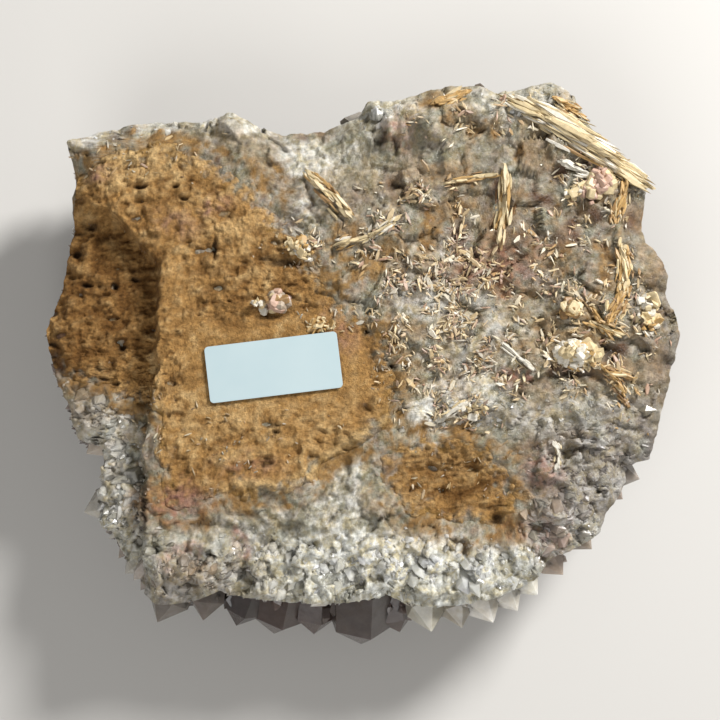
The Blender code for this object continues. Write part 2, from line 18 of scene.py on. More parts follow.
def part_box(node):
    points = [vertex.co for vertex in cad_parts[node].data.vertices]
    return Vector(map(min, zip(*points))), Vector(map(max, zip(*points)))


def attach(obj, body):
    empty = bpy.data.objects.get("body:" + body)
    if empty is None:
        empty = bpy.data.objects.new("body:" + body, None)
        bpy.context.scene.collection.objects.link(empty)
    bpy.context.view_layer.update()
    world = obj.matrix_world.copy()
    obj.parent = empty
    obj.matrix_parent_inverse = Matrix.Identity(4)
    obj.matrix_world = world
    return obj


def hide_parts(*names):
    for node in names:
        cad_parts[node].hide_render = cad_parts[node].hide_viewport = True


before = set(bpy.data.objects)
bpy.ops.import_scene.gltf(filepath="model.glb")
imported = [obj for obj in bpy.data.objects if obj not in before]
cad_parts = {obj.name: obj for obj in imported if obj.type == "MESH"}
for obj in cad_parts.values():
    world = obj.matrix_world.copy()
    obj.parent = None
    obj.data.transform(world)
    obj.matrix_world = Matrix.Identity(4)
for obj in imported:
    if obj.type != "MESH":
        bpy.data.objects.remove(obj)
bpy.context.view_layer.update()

# The quartz plate. Milky, faintly violet quartz that grew as one sheet on the wall of a cavity and
# was broken off with its back uppermost. Rust coloured water has stained it, and the broken face
# is lumpy, with gaps between the intergrown crystals.
MM = 0.001
PLATE_DEPTH = 20.0
REST_DEPTH = 35.5
SEAT_GAP = 0.3
RIM_ROUNDING = 9.0
RIM_DROP = 5.0
HOLLOW_DROP = 6.5
LABEL_SIZE = (30.0, 12.8, 0.4)
LABEL_CENTRE = (-19.2, -1.8)
LABEL_TURN = 7.0

# Corners of the level ground that the label lies on, and how far round the label the rises and
# hollows begin and are at full height.
LABEL_ROOM = [(-38, -13.5), (-38, 5.5), (-2, 11.5), (0.5, -7.5)]
LEVEL_BORDER = (5.0, 10.0)

# The plate's outer edge, clockwise from its upper left corner.
RIM = [
    (-68.2, 51.4), (-60.4, 53.9), (-50.6, 55.7), (-36.9, 56), (-29.6, 58.3), (-24.4, 55.3),
    (-17.8, 53), (-8.2, 54.2), (-0.2, 57.2), (2.1, 60.8), (10.3, 61.1), (18.7, 64.6), (28.3, 64.6),
    (31.9, 62.5), (38.3, 64.2), (44.9, 65.4), (50.2, 62), (53.4, 54.6), (63.4, 46.1), (67.1, 41),
    (65.4, 30.1), (71.6, 20.1), (70.9, 15.7), (73.9, 6.5), (72, -3), (68.9, -13.2), (67, -22.5),
    (60.9, -24), (61.5, -27.5), (57, -34.7), (55.1, -39.6), (43.5, -45.6), (40.5, -50),
    (30, -54.5), (14, -56.5), (6, -54), (-8, -55.5), (-22, -54.5), (-31.9, -53), (-38.2, -55),
    (-46.1, -56), (-51.5, -50.2), (-57.2, -40.7), (-61, -35.5), (-60.1, -26.9), (-59.5, -19.7),
    (-66.1, -18.1), (-68.6, -9.5), (-72.7, 1.9), (-73.6, 7.6), (-70, 17.1), (-67.5, 31.5),
    (-66, 43.5),
]

# Height of a point on the outer wall and how far the wall has drawn in there.
WALL_HEIGHTS = [-PLATE_DEPTH, -14.0, -11.0, -6.0, -2.0, 12.0]
WALL_SHARES = [0.9, 0.94, 0.965, 0.985, 0.985, 0.975]

# The cliff between the left hollow and the middle plateau: y and x, from near to far. It fades out
# towards the far end of the hollow.
HOLLOW_END = 38.0
HOLLOW_FADE = 9.0
CLIFF = [
    (-60, -46.5), (-37, -48.3), (-18.5, -47.7), (-9.3, -46.5), (2.3, -45.4), (13.9, -44.7),
    (22.7, -45.4), (26.6, -49.9), (34.3, -55.2), (40, -57),
]

# Rises and hollows of the upper face: centre, half widths and height.
MOUNDS = [
    (-29.6, 55, 6, 5, 2), (8.2, 54.4, 8, 7, 2.5), (16.2, 53.2, 4.5, 4.5, 3.5), (29.8, 59, 7, 4, 2),
    (46, 53, 14, 8, 2), (52.7, 6.9, 14, 18, 2), (18.5, 6.9, 22, 16, 1), (-19.2, 39.4, 5, 10, -1.5),
    (-6.6, 48.6, 8, 6, -1.5), (-48.5, 23, 3.5, 6, -1.5), (-72, 10, 9, 22, 2.5),
    (20.7, -29, 17, 10, -3), (3, -14, 9, 5, 1.2), (-16, -28, 12, 3.5, 1.5), (-2, -45, 40, 7, -2.5),
    (-57, -32, 7, 13, 2.5),
]

# Single pits, slits and gaps that are larger than the even roughness: centre, half widths, depth.
PITS = [
    (-64.8, 25, 1.4, 0.9, 2), (-61.3, 31.3, 1.5, 0.8, 1.8), (-56.1, 17.8, 1, 0.8, 2),
    (-51.5, 19.2, 1.2, 0.8, 1.8), (-62.7, 17.8, 1.6, 0.7, 1.6), (-54.3, 3.5, 1.1, 0.8, 2),
    (-70, 4.2, 1.6, 0.7, 1.6), (-66.8, 47.9, 0.5, 2, 2), (-49.9, 39.6, 1.8, 0.6, 1.8),
    (-42, 39.8, 0.9, 0.5, 1.5), (-39.7, 36.8, 0.8, 0.5, 1.4), (-32.8, 25.5, 0.7, 2.4, 1.8),
    (-1.1, 6, 0.8, 0.6, 1.6), (1.4, 6.3, 0.7, 0.6, 1.4), (7.1, -1.6, 0.9, 0.7, 1.6),
    (-18.7, -16.2, 0.9, 0.7, 1.6), (-21.4, -23.8, 0.8, 0.6, 1.5), (31, -35.9, 1.7, 1.2, 1.8),
    (-48.1, -33.6, 0.7, 6, 2.4), (8.2, 39.9, 1.7, 1.1, 1.6), (5.2, 50.9, 0.8, 1.8, 1.6),
    (8.4, 48.6, 0.8, 1.8, 1.8), (16, 48.4, 2.8, 0.7, 1.2), (-17, 22.2, 4.2, 1.2, 1.6),
    (48, -3.4, 5, 1.4, 1.8), (-19, 9.4, 3.2, 1.2, 1.4), (56, 1.4, 2.8, 2.2, 1.8),
    (-10.5, 35, 1.2, 3.2, 1.4),
]

# Lumps of quartz that stand up from the broken face: centre, half widths and height.
LUMPS = [
    (16.4, 52, 3.2, 3.4, 1.8), (6.6, 51.6, 1.5, 3.8, 1.4), (10.8, 57.6, 2.4, 2, 1),
    (40.4, 62, 3, 2.4, 1.2), (48, 61, 2.6, 2.2, 1.2), (45.6, 30, 1.6, 1.4, 1),
    (1.6, 61, 2, 2.4, 1), (25, 57, 3.4, 2, 0.8), (32, 58.6, 2.4, 2, 0.8), (-8, 46, 4, 5, 0.9),
    (-15, 36, 3.4, 3, 0.7), (31, -9, 5, 4, 0.8), (4.4, -13.6, 3.6, 2.4, 0.8), (66, -14, 3, 5, 1),
    (60, -16, 3, 4, 0.8), (52, -20, 4, 5, 0.9), (68.6, 18.6, 2.6, 3, 1.2), (70.6, 10, 2.4, 3, 1),
    (64, 44, 2.4, 3, 0.8), (-52, 54, 3, 1.8, 1), (-40, -49, 5, 3, 1.2), (-28, -50, 4, 2.6, 1),
    (-66, 50.6, 2.2, 1.6, 1.2),
]

low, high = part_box("catalogue_label")
PLATE_ORIGIN = Vector((
    (low.x + high.x) / 2.0 - LABEL_CENTRE[0] * MM,
    (low.y + high.y) / 2.0 - LABEL_CENTRE[1] * MM,
    low.z - SEAT_GAP * MM,
))
TO_ROW = Matrix.Translation(PLATE_ORIGIN) @ Matrix.Diagonal((MM, MM, MM, 1.0))


def linear(hex_colour):
    """An sRGB colour turned linear, with an alpha of one."""
    channels = [int(hex_colour[index:index + 2], 16) / 255.0 for index in (1, 3, 5)]
    return [c / 12.92 if c <= 0.04045 else ((c + 0.055) / 1.055) ** 2.4 for c in channels] + [1.0]


def smooth_step(value, start, end):
    share = np.clip((value - start) / (end - start), 0.0, 1.0)
    return share * share * (3.0 - 2.0 * share)


def path_distance(x, y, path):
    """Distance from each point to the nearest place on a path."""
    nearest = np.full(np.shape(x), np.inf)
    for (ax, ay), (bx, by) in zip(path, path[1:]):
        dx, dy = bx - ax, by - ay
        along = np.clip(((x - ax) * dx + (y - ay) * dy) / (dx * dx + dy * dy), 0.0, 1.0)
        nearest = np.minimum(nearest, np.hypot(x - ax - along * dx, y - ay - along * dy))
    return nearest


def inner_distance(x, y, outline):
    """Distance from each point to a closed outline, negative outside it."""
    closed = outline + outline[:1]
    inside = np.zeros(np.shape(x), bool)
    for (ax, ay), (bx, by) in zip(closed, closed[1:]):
        if by != ay:
            inside ^= ((ay > y) != (by > y)) & (x < ax + (y - ay) * (bx - ax) / (by - ay))
    nearest = path_distance(x, y, closed)
    return np.where(inside, nearest, -nearest)


def relief(x, y, cliff_width=3.0):
    """Height of the upper face above the plate's zero."""
    cliff = np.interp(y, *np.array(CLIFF).T)
    height = -HOLLOW_DROP * smooth_step(cliff - x, 0.0, cliff_width)
    height = height * smooth_step(HOLLOW_END - y, 0.0, HOLLOW_FADE)
    for centre_x, centre_y, half_x, half_y, rise in MOUNDS:
        height += rise * np.exp(-((x - centre_x) / half_x) ** 2 - ((y - centre_y) / half_y) ** 2)
    rim_gap = np.maximum(inner_distance(x, y, RIM), 0.0)
    height -= RIM_DROP * np.maximum(0.0, 1.0 - rim_gap / RIM_ROUNDING) ** 2
    turn = math.radians(-LABEL_TURN)
    dx, dy = x - LABEL_CENTRE[0], y - LABEL_CENTRE[1]
    across = np.abs(dx * math.cos(turn) - dy * math.sin(turn)) - LABEL_SIZE[0] / 2.0
    along = np.abs(dx * math.sin(turn) + dy * math.cos(turn)) - LABEL_SIZE[1] / 2.0
    return height * smooth_step(np.maximum(across, along), *LEVEL_BORDER)


def speckle(x, y, size, octaves, seed, smoothness=0.9):
    """Fractal noise from about -1 to 1 whose broadest lumps measure about size."""
    return np.array([
        noise.fractal((px / size, py / size, seed), smoothness, 2.0, octaves)
        for px, py in zip(x.tolist(), y.tolist())
    ])


def facets(x, y, size, lean, seed):
    """Broken crystal faces packed side by side: their height, and how near each border is."""
    heights, borders = [], []
    for px, py in zip(x.tolist(), y.tolist()):
        away, corners = noise.voronoi((px / size, py / size, seed))
        middle = corners[0]
        code = 127.1 * middle.x + 311.7 * middle.y + 74.7 * middle.z
        dx, dy = px / size - middle.x, py / size - middle.y
        slope = math.sin(code) * dx + math.sin(2.3 * code) * dy
        heights.append(size * (lean * slope + 0.3 * math.sin(3.7 * code)))
        borders.append(away[1] - away[0])
    return np.array(heights), np.array(borders)


def warped(x, y, amount, size, octaves, seed):
    """The places moved aside by noise, so that what is drawn through them has a ragged border."""
    return (x + amount * speckle(x, y, size, octaves, seed),
            y + amount * speckle(x, y, size, octaves, seed + 1.0))


def patches(x, y, spots):
    """How much soft spots cover each point: centre, half widths, turn in degrees and strength."""
    cover = np.zeros(np.shape(x))
    for centre_x, centre_y, half_x, half_y, turn, strength in spots:
        cosine, sine = math.cos(math.radians(turn)), math.sin(math.radians(turn))
        along = ((x - centre_x) * cosine + (y - centre_y) * sine) / half_x
        across = ((y - centre_y) * cosine - (x - centre_x) * sine) / half_y
        cover = np.maximum(cover, strength * np.exp(-(along ** 2 + across ** 2) ** 1.5))
    return cover


def pitted(x, y, pits):
    """How deep the pits reach at each point."""
    depth = np.zeros(np.shape(x))
    for centre_x, centre_y, half_x, half_y, deep in pits:
        near = (np.abs(x - centre_x) < 2.4 * half_x) & (np.abs(y - centre_y) < 2.4 * half_y)
        shape = ((x[near] - centre_x) / half_x) ** 2 + ((y[near] - centre_y) / half_y) ** 2
        depth[near] = np.maximum(depth[near], deep * np.exp(-shape ** 1.4))
    return depth


def broken_face(x, y):
    """Height of the broken face with the larger lumps that crust and quartz have in common."""
    ragged_x = x + 1.3 * speckle(x, y, 6.0, 3, 1.0)
    flat = smooth_step(-inner_distance(x, y, LABEL_ROOM), 0.0, 3.0)
    lumps = 0.75 * speckle(x, y, 11.0, 3, 2.0) + 0.3 * speckle(x, y, 3.2, 3, 3.0)
    for centre_x, centre_y, half_x, half_y, rise in LUMPS:
        out = ((x - centre_x) / half_x) ** 2 + ((y - centre_y) / half_y) ** 2
        lumps += rise * np.exp(-out ** 1.5)
    return relief(ragged_x, y, 1.6) + flat * lumps


def disc_sheet(cells):
    """A square grid, and for each of its points the share of the way out and the direction."""
    bm = bmesh.new()
    bmesh.ops.create_grid(bm, x_segments=cells, y_segments=cells, size=1.0)
    a = np.array([vert.co.x for vert in bm.verts])
    b = np.array([vert.co.y for vert in bm.verts])
    wide = np.abs(a) >= np.abs(b)
    ring = np.where(wide, a, b)
    safe = np.where(ring == 0.0, 1.0, ring)
    turn = np.where(wide, math.pi / 4.0 * b / safe, math.pi / 2.0 - math.pi / 4.0 * a / safe)
    return bm, np.abs(ring), np.arctan2(ring * np.sin(turn), ring * np.cos(turn))


def reach(outline, angle, centre=(0.0, 0.0)):
    """How far an outline lies from its centre in each direction."""
    points = np.array(outline) - centre
    around = np.arctan2(points[:, 1], points[:, 0])
    return np.interp(angle, around, np.hypot(points[:, 0], points[:, 1]), period=2.0 * math.pi)


def move_verts(bm, x, y, z):
    for vert, place in zip(bm.verts, zip(x.tolist(), y.tolist(), z.tolist())):
        vert.co = place


def close_below(bm, drop, middle=(0.0, 0.0), kept=1.0):
    """Extrude the open border down and inwards and close it, so that the sheet becomes a solid."""
    border = [edge for edge in bm.edges if edge.is_boundary]
    if drop > 0.0:
        grown = bmesh.ops.extrude_edge_only(bm, edges=border)["geom"]
        lower = [item for item in grown if isinstance(item, bmesh.types.BMVert)]
        bottom = min(vert.co.z for vert in lower) - drop
        for vert in lower:
            vert.co.x = middle[0] + kept * (vert.co.x - middle[0])
            vert.co.y = middle[1] + kept * (vert.co.y - middle[1])
            vert.co.z = bottom
        border = [edge for edge in bm.edges if edge.is_boundary]
    bmesh.ops.contextual_create(bm, geom=border)
    bmesh.ops.recalc_face_normals(bm, faces=bm.faces)


def mixed(tints, hex_colour, share):
    """Each tint moved towards one colour, whose alpha is one, by its share."""
    return tints + (np.array(linear(hex_colour)) - tints) * np.clip(share, 0.0, 1.0)[:, None]


def finished(bm, name):
    mesh = bpy.data.meshes.new(name)
    bm.to_mesh(mesh)
    bm.free()
    return mesh


def add_tint(mesh, tints):
    layer = mesh.attributes.new("tint", "FLOAT_COLOR", "POINT")
    layer.data.foreach_set("color", np.asarray(tints, np.float32).ravel())


def put_in_scene(name, data):
    made = bpy.data.objects.new(name, data)
    bpy.context.scene.collection.objects.link(made)
    return made


def add_piece(name, mesh, surface, nodes):
    """Put a mesh drawn in the plate's millimetres into the scene, in place of CAD nodes."""
    mesh.transform(TO_ROW)
    mesh.materials.append(surface)
    made = put_in_scene(name, mesh)
    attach(made, "root")
    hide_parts(*nodes)


def add_node(tree, kind, values=None, **settings):
    """Add a shader node. Settings are its properties, and values go to its inputs or link them."""
    made = tree.nodes.new("ShaderNode" + kind)
    for key, value in settings.items():
        setattr(made, key, value)
    for key, value in (values or {}).items():
        if isinstance(value, bpy.types.NodeSocket):
            tree.links.new(value, made.inputs[key])
        else:
            made.inputs[key].default_value = value
    return made


def grainy(tree, size, detail, roughness=0.5, distortion=0.0):
    """Noise from 0 to 1 in the object's own space, with lumps of about so many millimetres."""
    return add_node(tree, "TexNoise", {
        "Vector": add_node(tree, "TexCoord").outputs["Object"], "Scale": 1.0 / (size * MM),
        "Detail": detail, "Roughness": roughness, "Distortion": distortion}).outputs["Fac"]


def tinted_material(name, shader_values, grain, contrast, bump, stain=None, facet=None, earthy=None):
    """A stone whose colour is the mesh's tint.

    Grain is the size of its light and dark grains, and bump the size and height of its roughness.
    A stain has a size, a strength and a colour, and facets have a size and a lean. Earthy is the
    roughness where the tint's alpha is nought.
    """
    made = bpy.data.materials.new(name)
    made.use_nodes = True
    tree = made.node_tree
    shader = tree.nodes["Principled BSDF"]
    for key, value in shader_values.items():
        shader.inputs[key].default_value = value
    tint = add_node(tree, "Attribute", attribute_name="tint")
    spread = add_node(tree, "MapRange", {
        "Value": grainy(tree, grain, 5.0, 0.65), "From Min": 0.3, "From Max": 0.7,
        "To Min": 1.0 - contrast, "To Max": 1.0 + contrast})
    shown = add_node(tree, "VectorMath", {
        0: tint.outputs["Color"], "Scale": spread.outputs["Result"]}, operation="SCALE").outputs[0]
    if stain is not None:
        size, strength, hue = stain
        share = add_node(tree, "MapRange", {
            "Value": grainy(tree, size, 5.0, 0.7, 0.6), "From Min": 0.42, "From Max": 0.62,
            "To Max": strength})
        shown = add_node(tree, "Mix", {
            0: share.outputs["Result"], 6: shown, 7: linear(hue)},
            data_type="RGBA", blend_type="MULTIPLY").outputs[2]
    tree.links.new(shown, shader.inputs["Base Color"])
    if earthy is not None:
        rough = add_node(tree, "MapRange", {
            "Value": tint.outputs["Alpha"], "To Min": earthy,
            "To Max": shader_values["Roughness"]})
        tree.links.new(rough.outputs["Result"], shader.inputs["Roughness"])
    normal = add_node(tree, "Bump", {
        "Height": grainy(tree, bump[0], 4.0, 0.7), "Distance": bump[1] * MM,
        "Strength": 1.0}).outputs["Normal"]
    if facet is not None:
        cells = add_node(tree, "TexVoronoi", {
            "Vector": add_node(tree, "TexCoord").outputs["Object"],
            "Scale": 1.0 / (facet[0] * MM)})
        lean = add_node(tree, "VectorMath", {
            0: cells.outputs["Color"], 1: (0.5, 0.5, 0.5)}, operation="SUBTRACT")
        leaned = add_node(tree, "VectorMath", {
            0: lean.outputs["Vector"], 1: (facet[1],) * 3, 2: normal}, operation="MULTIPLY_ADD")
        normal = add_node(tree, "VectorMath", {
            0: leaned.outputs["Vector"]}, operation="NORMALIZE").outputs["Vector"]
    tree.links.new(normal, shader.inputs["Normal"])
    return made


# Colours of the quartz and of what stains it, and the painted shade of its gaps.
GREY_QUARTZ = "#8A8878"
WHITE_QUARTZ = "#ECECE6"
MAUVE_QUARTZ = "#665C55"
OCHRE_STAIN = "#8C6C3A"
RUST_STAIN = "#5E422A"
PINK_STAIN = "#966A58"
# Painted shade for the gaps between facets, the pits and the quartz between clumped chips.
PAINTED_GAP_SHADE = "#453420"

# Where each colour lies on the broken face: centre, half widths, turn and strength.
OCHRE_SPOTS = [
    (34, 24, 44, 44, 0, 0.62), (-12.3, 53.7, 9, 3.6, 0, 0.8), (17.3, 61.3, 8, 4, 20, 0.8),
    (-19.4, 43.5, 2.2, 4.5, 20, 0.9), (26, 51, 17, 8, -10, 0.75), (36.7, 34.7, 15, 11, 0, 0.75),
    (52.7, 25.5, 12, 16, 0, 0.85), (17.3, 37, 13, 8, 0, 0.7), (2.5, 28, 10, 11, 0, 0.7),
    (20, 22, 16, 9, 0, 0.55), (52.7, 2.3, 15, 13, 0, 0.7), (-4, 18, 16, 14, 0, 1),
    (10, 29, 18, 9, 10, 0.9), (12, 2, 10, 12, 0, 0.7), (-60, 22, 26, 34, 0, 1.1),
    (-30, 8, 34, 42, 0, 1.1), (50, 55, 14, 5, -35, 0.6), (36, 8, 9, 9, 0, 0.5),
    (20.7, -28, 19, 12, 0, 1), (62, 4, 8, 12, 0, 0.5), (-42, -33, 10, 7, 0, 0.9),
    (24, -8, 12, 6, 20, 0.35), (-58, -24, 9, 22, 0, 0.45), (-34, -46, 14, 6, 0, 0.45),
]
RUST_SPOTS = [
    (-74, 18, 8, 30, 0, 1.3), (-58, -2, 6, 5, 0, 0.5), (38, 30, 20, 14, 0, 0.5),
    (49, 43, 12, 7, -30, 0.6), (8.2, 40, 4, 3, 0, 0.8), (1.4, 37, 3, 3, 0, 0.6),
    (31, 20, 9, 5, 10, 0.55), (57, 1.6, 4, 4, 0, 0.7), (48, -3.6, 6, 2, 0, 0.7),
    (42, 28, 7, 5, 0, 0.5), (60, 29, 3, 8, 0, 0.6), (-12, 52, 6, 2, 0, 0.5),
]
WHITE_SPOTS = [
    (18.5, 16.2, 12, 10, 0, 0.8), (27.6, 4, 10, 8, 0, 0.8), (20.7, -10, 12, 7, 30, 1.1),
    (-4, -28, 9, 5, 20, 0.6), (9, -44, 24, 7, 0, 1), (28, -56, 20, 7, 10, 0.6),
    (34, 58, 8, 4, 0, 0.9), (-58, 53, 17, 3.6, 5, 1.1), (7, 58.5, 5, 3, 0, 0.9),
    (-14, 40, 9, 12, 0, 1), (-30, 55, 8, 3, 0, 0.9), (-26, -43, 15, 5, 0, 0.25),
    (44, -12, 10, 5, 10, 0.3), (-58, -28, 9, 18, 0, 0.5),
]
MAUVE_SPOTS = [
    (70, 5, 7, 30, 0, 0.7), (64, 36, 6, 12, 0, 0.7), (66, -16, 8, 10, 0, 0.9),
    (-40, -53, 18, 8, 0, 1.2), (-64, -12, 8, 8, 0, 0.7), (54, -26, 15, 14, 0, 1.5),
    (-62, -38, 6, 12, 0, 0.5), (-16, 52, 8, 4, 0, 0.3),
]
PINK_SPOTS = [
    (41.3, -39.4, 7, 5, 0, 0.7), (-27.1, -42.8, 2.4, 4.4, 10, 0.8), (-39, -44, 3.2, 2.2, 0, 0.8),
    (41.3, -24, 3.4, 6, 10, 0.7), (34.4, -5.1, 3.4, 3.2, 0, 0.7), (29.9, 20.8, 11, 6, 0, 0.5),
    (-41, -33, 9, 4, 0, 0.5), (9, 51, 3, 5, 0, 0.5), (-1, 4, 4, 3, 0, 0.5),
]

# Borders of the two sheets of ochre crust.
CRUST_OUTLINE = [
    (-65.4, 45.4), (-54.5, 50.6), (-41.7, 51.4), (-34, 47.6), (-26, 42.6), (-18.6, 35.4),
    (-11.6, 26.4), (-3.2, 13.9), (5.9, 6.9), (10.6, -7.6), (7.6, -15.4), (-6.4, -25), (-15.4, -32),
    (-28.3, -31.4), (-36.3, -35), (-45.5, -35.5), (-47, -25.5), (-47, -12.7), (-57.9, -8.1),
    (-67.7, -4.2), (-78, 2), (-80, 12), (-78, 34), (-74, 46),
]
PATCH_OUTLINE = [
    (3, -22), (9.3, -16.7), (20.7, -15.7), (29.9, -18.5), (35.6, -24.3), (37.2, -32.4),
    (33.3, -38.9), (23, -39.4), (11.6, -35.9), (4.3, -30.1),
]


def crust_cover(x, y):
    """How far each point lies inside the crust's or the patch's ragged border."""
    ragged = warped(x, y, 2.4, 7.0, 4, 21.0)
    return np.maximum(inner_distance(*ragged, CRUST_OUTLINE), inner_distance(*ragged, PATCH_OUTLINE))


# Where bits of broken barite are stuck on, thickest on the middle of the plateau.
CHIP_SPOTS = [
    (19, 16, 15, 12, 0, 1), (26, 2, 12, 9, 0, 0.9), (24, -10, 9, 6, 20, 0.8),
    (50, 8, 13, 14, 0, 0.7), (4, 28, 9, 6, 20, 0.5), (16, 36, 10, 5, 0, 0.6),
    (52, 38, 9, 8, 0, 0.5), (-14, 26, 7, 5, 0, 0.5), (-8, 8, 6, 4, 0, 0.4),
    (-28, -18, 16, 9, 0, 0.07), (22, -26, 14, 9, 0, 0.06), (10, 0, 8, 10, 0, 0.5),
    (44, 20, 12, 12, 0, 0.45), (58, 4, 9, 14, 0, 0.5), (26, 56, 14, 5, 0, 0.4),
    (-50, 46, 16, 5, 0, 0.12), (-46, -10, 2, 12, 0, 0.5),
]


def chip_cover(x, y):
    """How densely the bits of barite lie at each point. They cling together in clumps."""
    cover = patches(x, y, CHIP_SPOTS) * smooth_step(speckle(x, y, 5.0, 3, 15.0, 0.6), -0.1, 0.2)
    return cover * smooth_step(-inner_distance(x, y, LABEL_ROOM), -3.0, 0.0)


def quartz_tints(x, y, painted_shade_share):
    """Colour of the broken quartz at each point, with painted shade in its gaps, pits and between
    clumped chips.

    Alpha is one on clean quartz and falls where the stain is earthy, which makes it duller.
    """
    aside = warped(x, y, 3.2, 8.0, 3, 11.0)
    fine = speckle(x, y, 1.5, 3, 13.0)
    broad = speckle(x, y, 5.0, 3, 14.0)
    islands = speckle(x, y, 9.0, 4, 16.0, 0.7)
    tints = np.tile(linear(GREY_QUARTZ), (len(x), 1))
    white = patches(*aside, WHITE_SPOTS)
    tints = mixed(tints, WHITE_QUARTZ, 0.12 + 0.9 * fine + 0.7 * broad + 0.75 * white)
    tints = mixed(tints, MAUVE_QUARTZ, patches(*aside, MAUVE_SPOTS) * (0.9 + broad))
    film = smooth_step(crust_cover(x, y), -6.0, 0.0)
    film = np.maximum(film, patches(*aside, OCHRE_SPOTS))
    ochre = film * (0.2 + 0.9 * smooth_step(islands, -0.35, 0.35) + 0.8 * fine + 0.5 * broad)
    tints = mixed(tints, OCHRE_STAIN, ochre)
    rust = patches(*aside, RUST_SPOTS) + 0.5 * film * smooth_step(-islands, 0.1, 0.5)
    tints = mixed(tints, RUST_STAIN, rust * (0.7 + 1.5 * broad))
    # Painted shade on the quartz between the clumped chips.
    tints = mixed(tints, PAINTED_GAP_SHADE, 0.8 * chip_cover(x, y) * smooth_step(-fine, -0.2, 0.3))
    tints = mixed(tints, PINK_STAIN, patches(*aside, PINK_SPOTS) * (0.8 + 1.6 * fine))
    # Painted shade in the gaps between facets and in the pits.
    tints = mixed(tints, PAINTED_GAP_SHADE, painted_shade_share)
    tints[:, 3] = 1.0 - np.clip(ochre, 0.0, 1.0)
    return tints


# Where the break runs through free standing crystals and not through massive quartz.
GROWTH_SPOTS = [
    (0, -49, 48, 9.5, 0, 1), (-30, -48, 24, 9, 0, 0.9), (54, -24, 13, 14, 0, 0.8),
    (-60, -24, 9, 24, 0, 0.9), (48, -40, 12, 9, -30, 1), (-8, 56, 10, 3, 0, 0.4),
    (42, 62, 12, 4, 0, 0.5), (-58, 54, 14, 2.4, 5, 0.5),
]

# The plate is one grid. Its upper face ends at one share of the way out, the wall at the next, and
# the rest closes below. Noise that runs round a ring makes the rim ragged and the wall bumpy.
PLATE_CELLS = 304
TOP_SHARE = 0.80
WALL_SHARE = 0.92
FACE_REACH = 0.975
BELOW_DRAWN_IN = 0.45
NOISE_RING = 60.0
RIM_RAGGED = 0.9
WALL_BUMPS = 1.8
bm, share, angle = disc_sheet(PLATE_CELLS)
ring_noise = speckle(NOISE_RING * np.cos(angle), NOISE_RING * np.sin(angle), 5.0, 4, 31.0)
rim_reach = reach(RIM, angle) - RIM_RAGGED * np.abs(ring_noise)
way = np.clip(share / TOP_SHARE, 0.0, 1.0) * FACE_REACH * rim_reach
x, y = way * np.cos(angle), way * np.sin(angle)
cover = crust_cover(x, y)
z = broken_face(x, y)
bare = smooth_step(-cover, -2.0, 1.0)
grown = patches(x, y, GROWTH_SPOTS)
faces, borders = facets(x + 0.8 * speckle(x, y, 3.0, 2, 9.0), y, 6.0, 0.5, 4.0)
small_faces, _ = facets(x, y, 2.5, 0.8, 5.0)
z += bare * ((0.42 + 0.2 * grown) * faces + (0.2 + 0.5 * grown) * small_faces)
micro = speckle(x, y, 2.2, 2, 10.0, 0.4)
pit_depth = pitted(x + 0.9 * micro, y + 0.7 * speckle(x, y, 1.8, 2, 19.0, 0.4), PITS)
z -= pit_depth
z += bare * (1.0 - 0.7 * grown) * (
    0.15 * micro + (0.12 + 0.6 * chip_cover(x, y)) * speckle(x, y, 1.5, 2, 17.0, 0.4))
z -= 1.2 * smooth_step(cover, 1.0, 3.5)
down = np.clip((share - TOP_SHARE) / (WALL_SHARE - TOP_SHARE), 0.0, 1.0)
z = z + (-PLATE_DEPTH - z) * down
wall = np.interp(z, WALL_HEIGHTS, WALL_SHARES)
below = np.clip((share - WALL_SHARE) / (1.0 - WALL_SHARE), 0.0, 1.0)
drawn_in = np.where(down > 0.0, wall / FACE_REACH, 1.0) * (1.0 - BELOW_DRAWN_IN * below)
bumps = WALL_BUMPS * speckle(NOISE_RING * angle, z, 4.0, 3, 6.0) * np.minimum(1.0, 4.0 * down)
bumps = np.maximum(bumps, 0.0)
x = x * drawn_in - bumps * np.cos(angle)
y = y * drawn_in - bumps * np.sin(angle)
move_verts(bm, x, y, z)
close_below(bm, 0.0)
plate_tree = BVHTree.FromBMesh(bm)
plate_mesh = finished(bm, "quartz_body")
plate_mesh.shade_smooth()
# Painted shade along the borders of the facets, in low spots and in the pits.
painted_shade_share = bare * (down == 0.0) * (1.0 - 0.7 * grown) * (
    0.25 * smooth_step(-borders, -0.1, 0.0) + 0.3 * smooth_step(-micro, 0.1, 0.6))
painted_shade_share = np.maximum(painted_shade_share, 0.9 * smooth_step(pit_depth, 0.3, 1.6))
tints = quartz_tints(x, y, painted_shade_share)
tints = mixed(tints, WHITE_QUARTZ, 0.35 * grown * (1.0 - smooth_step(cover, -3.0, 1.0)))
add_tint(plate_mesh, tints)

# Broken milky quartz: glassy on its fresh facets, dull where it is stained.
QUARTZ_OPTICS = {"IOR": 1.544, "Subsurface Radius": (1.0, 1.0, 1.0)}
quartz = tinted_material(
    "milky_quartz",
    {**QUARTZ_OPTICS, "Roughness": 0.24, "Subsurface Weight": 0.35, "Subsurface Scale": 1.5 * MM},
    grain=1.1, contrast=0.38, bump=(0.7, 0.5), stain=(3.0, 0.72, "#DDCB96"), facet=(0.8, 0.2),
    earthy=0.7,
)
add_piece("quartz_body", plate_mesh, quartz, ["quartz_plate"])

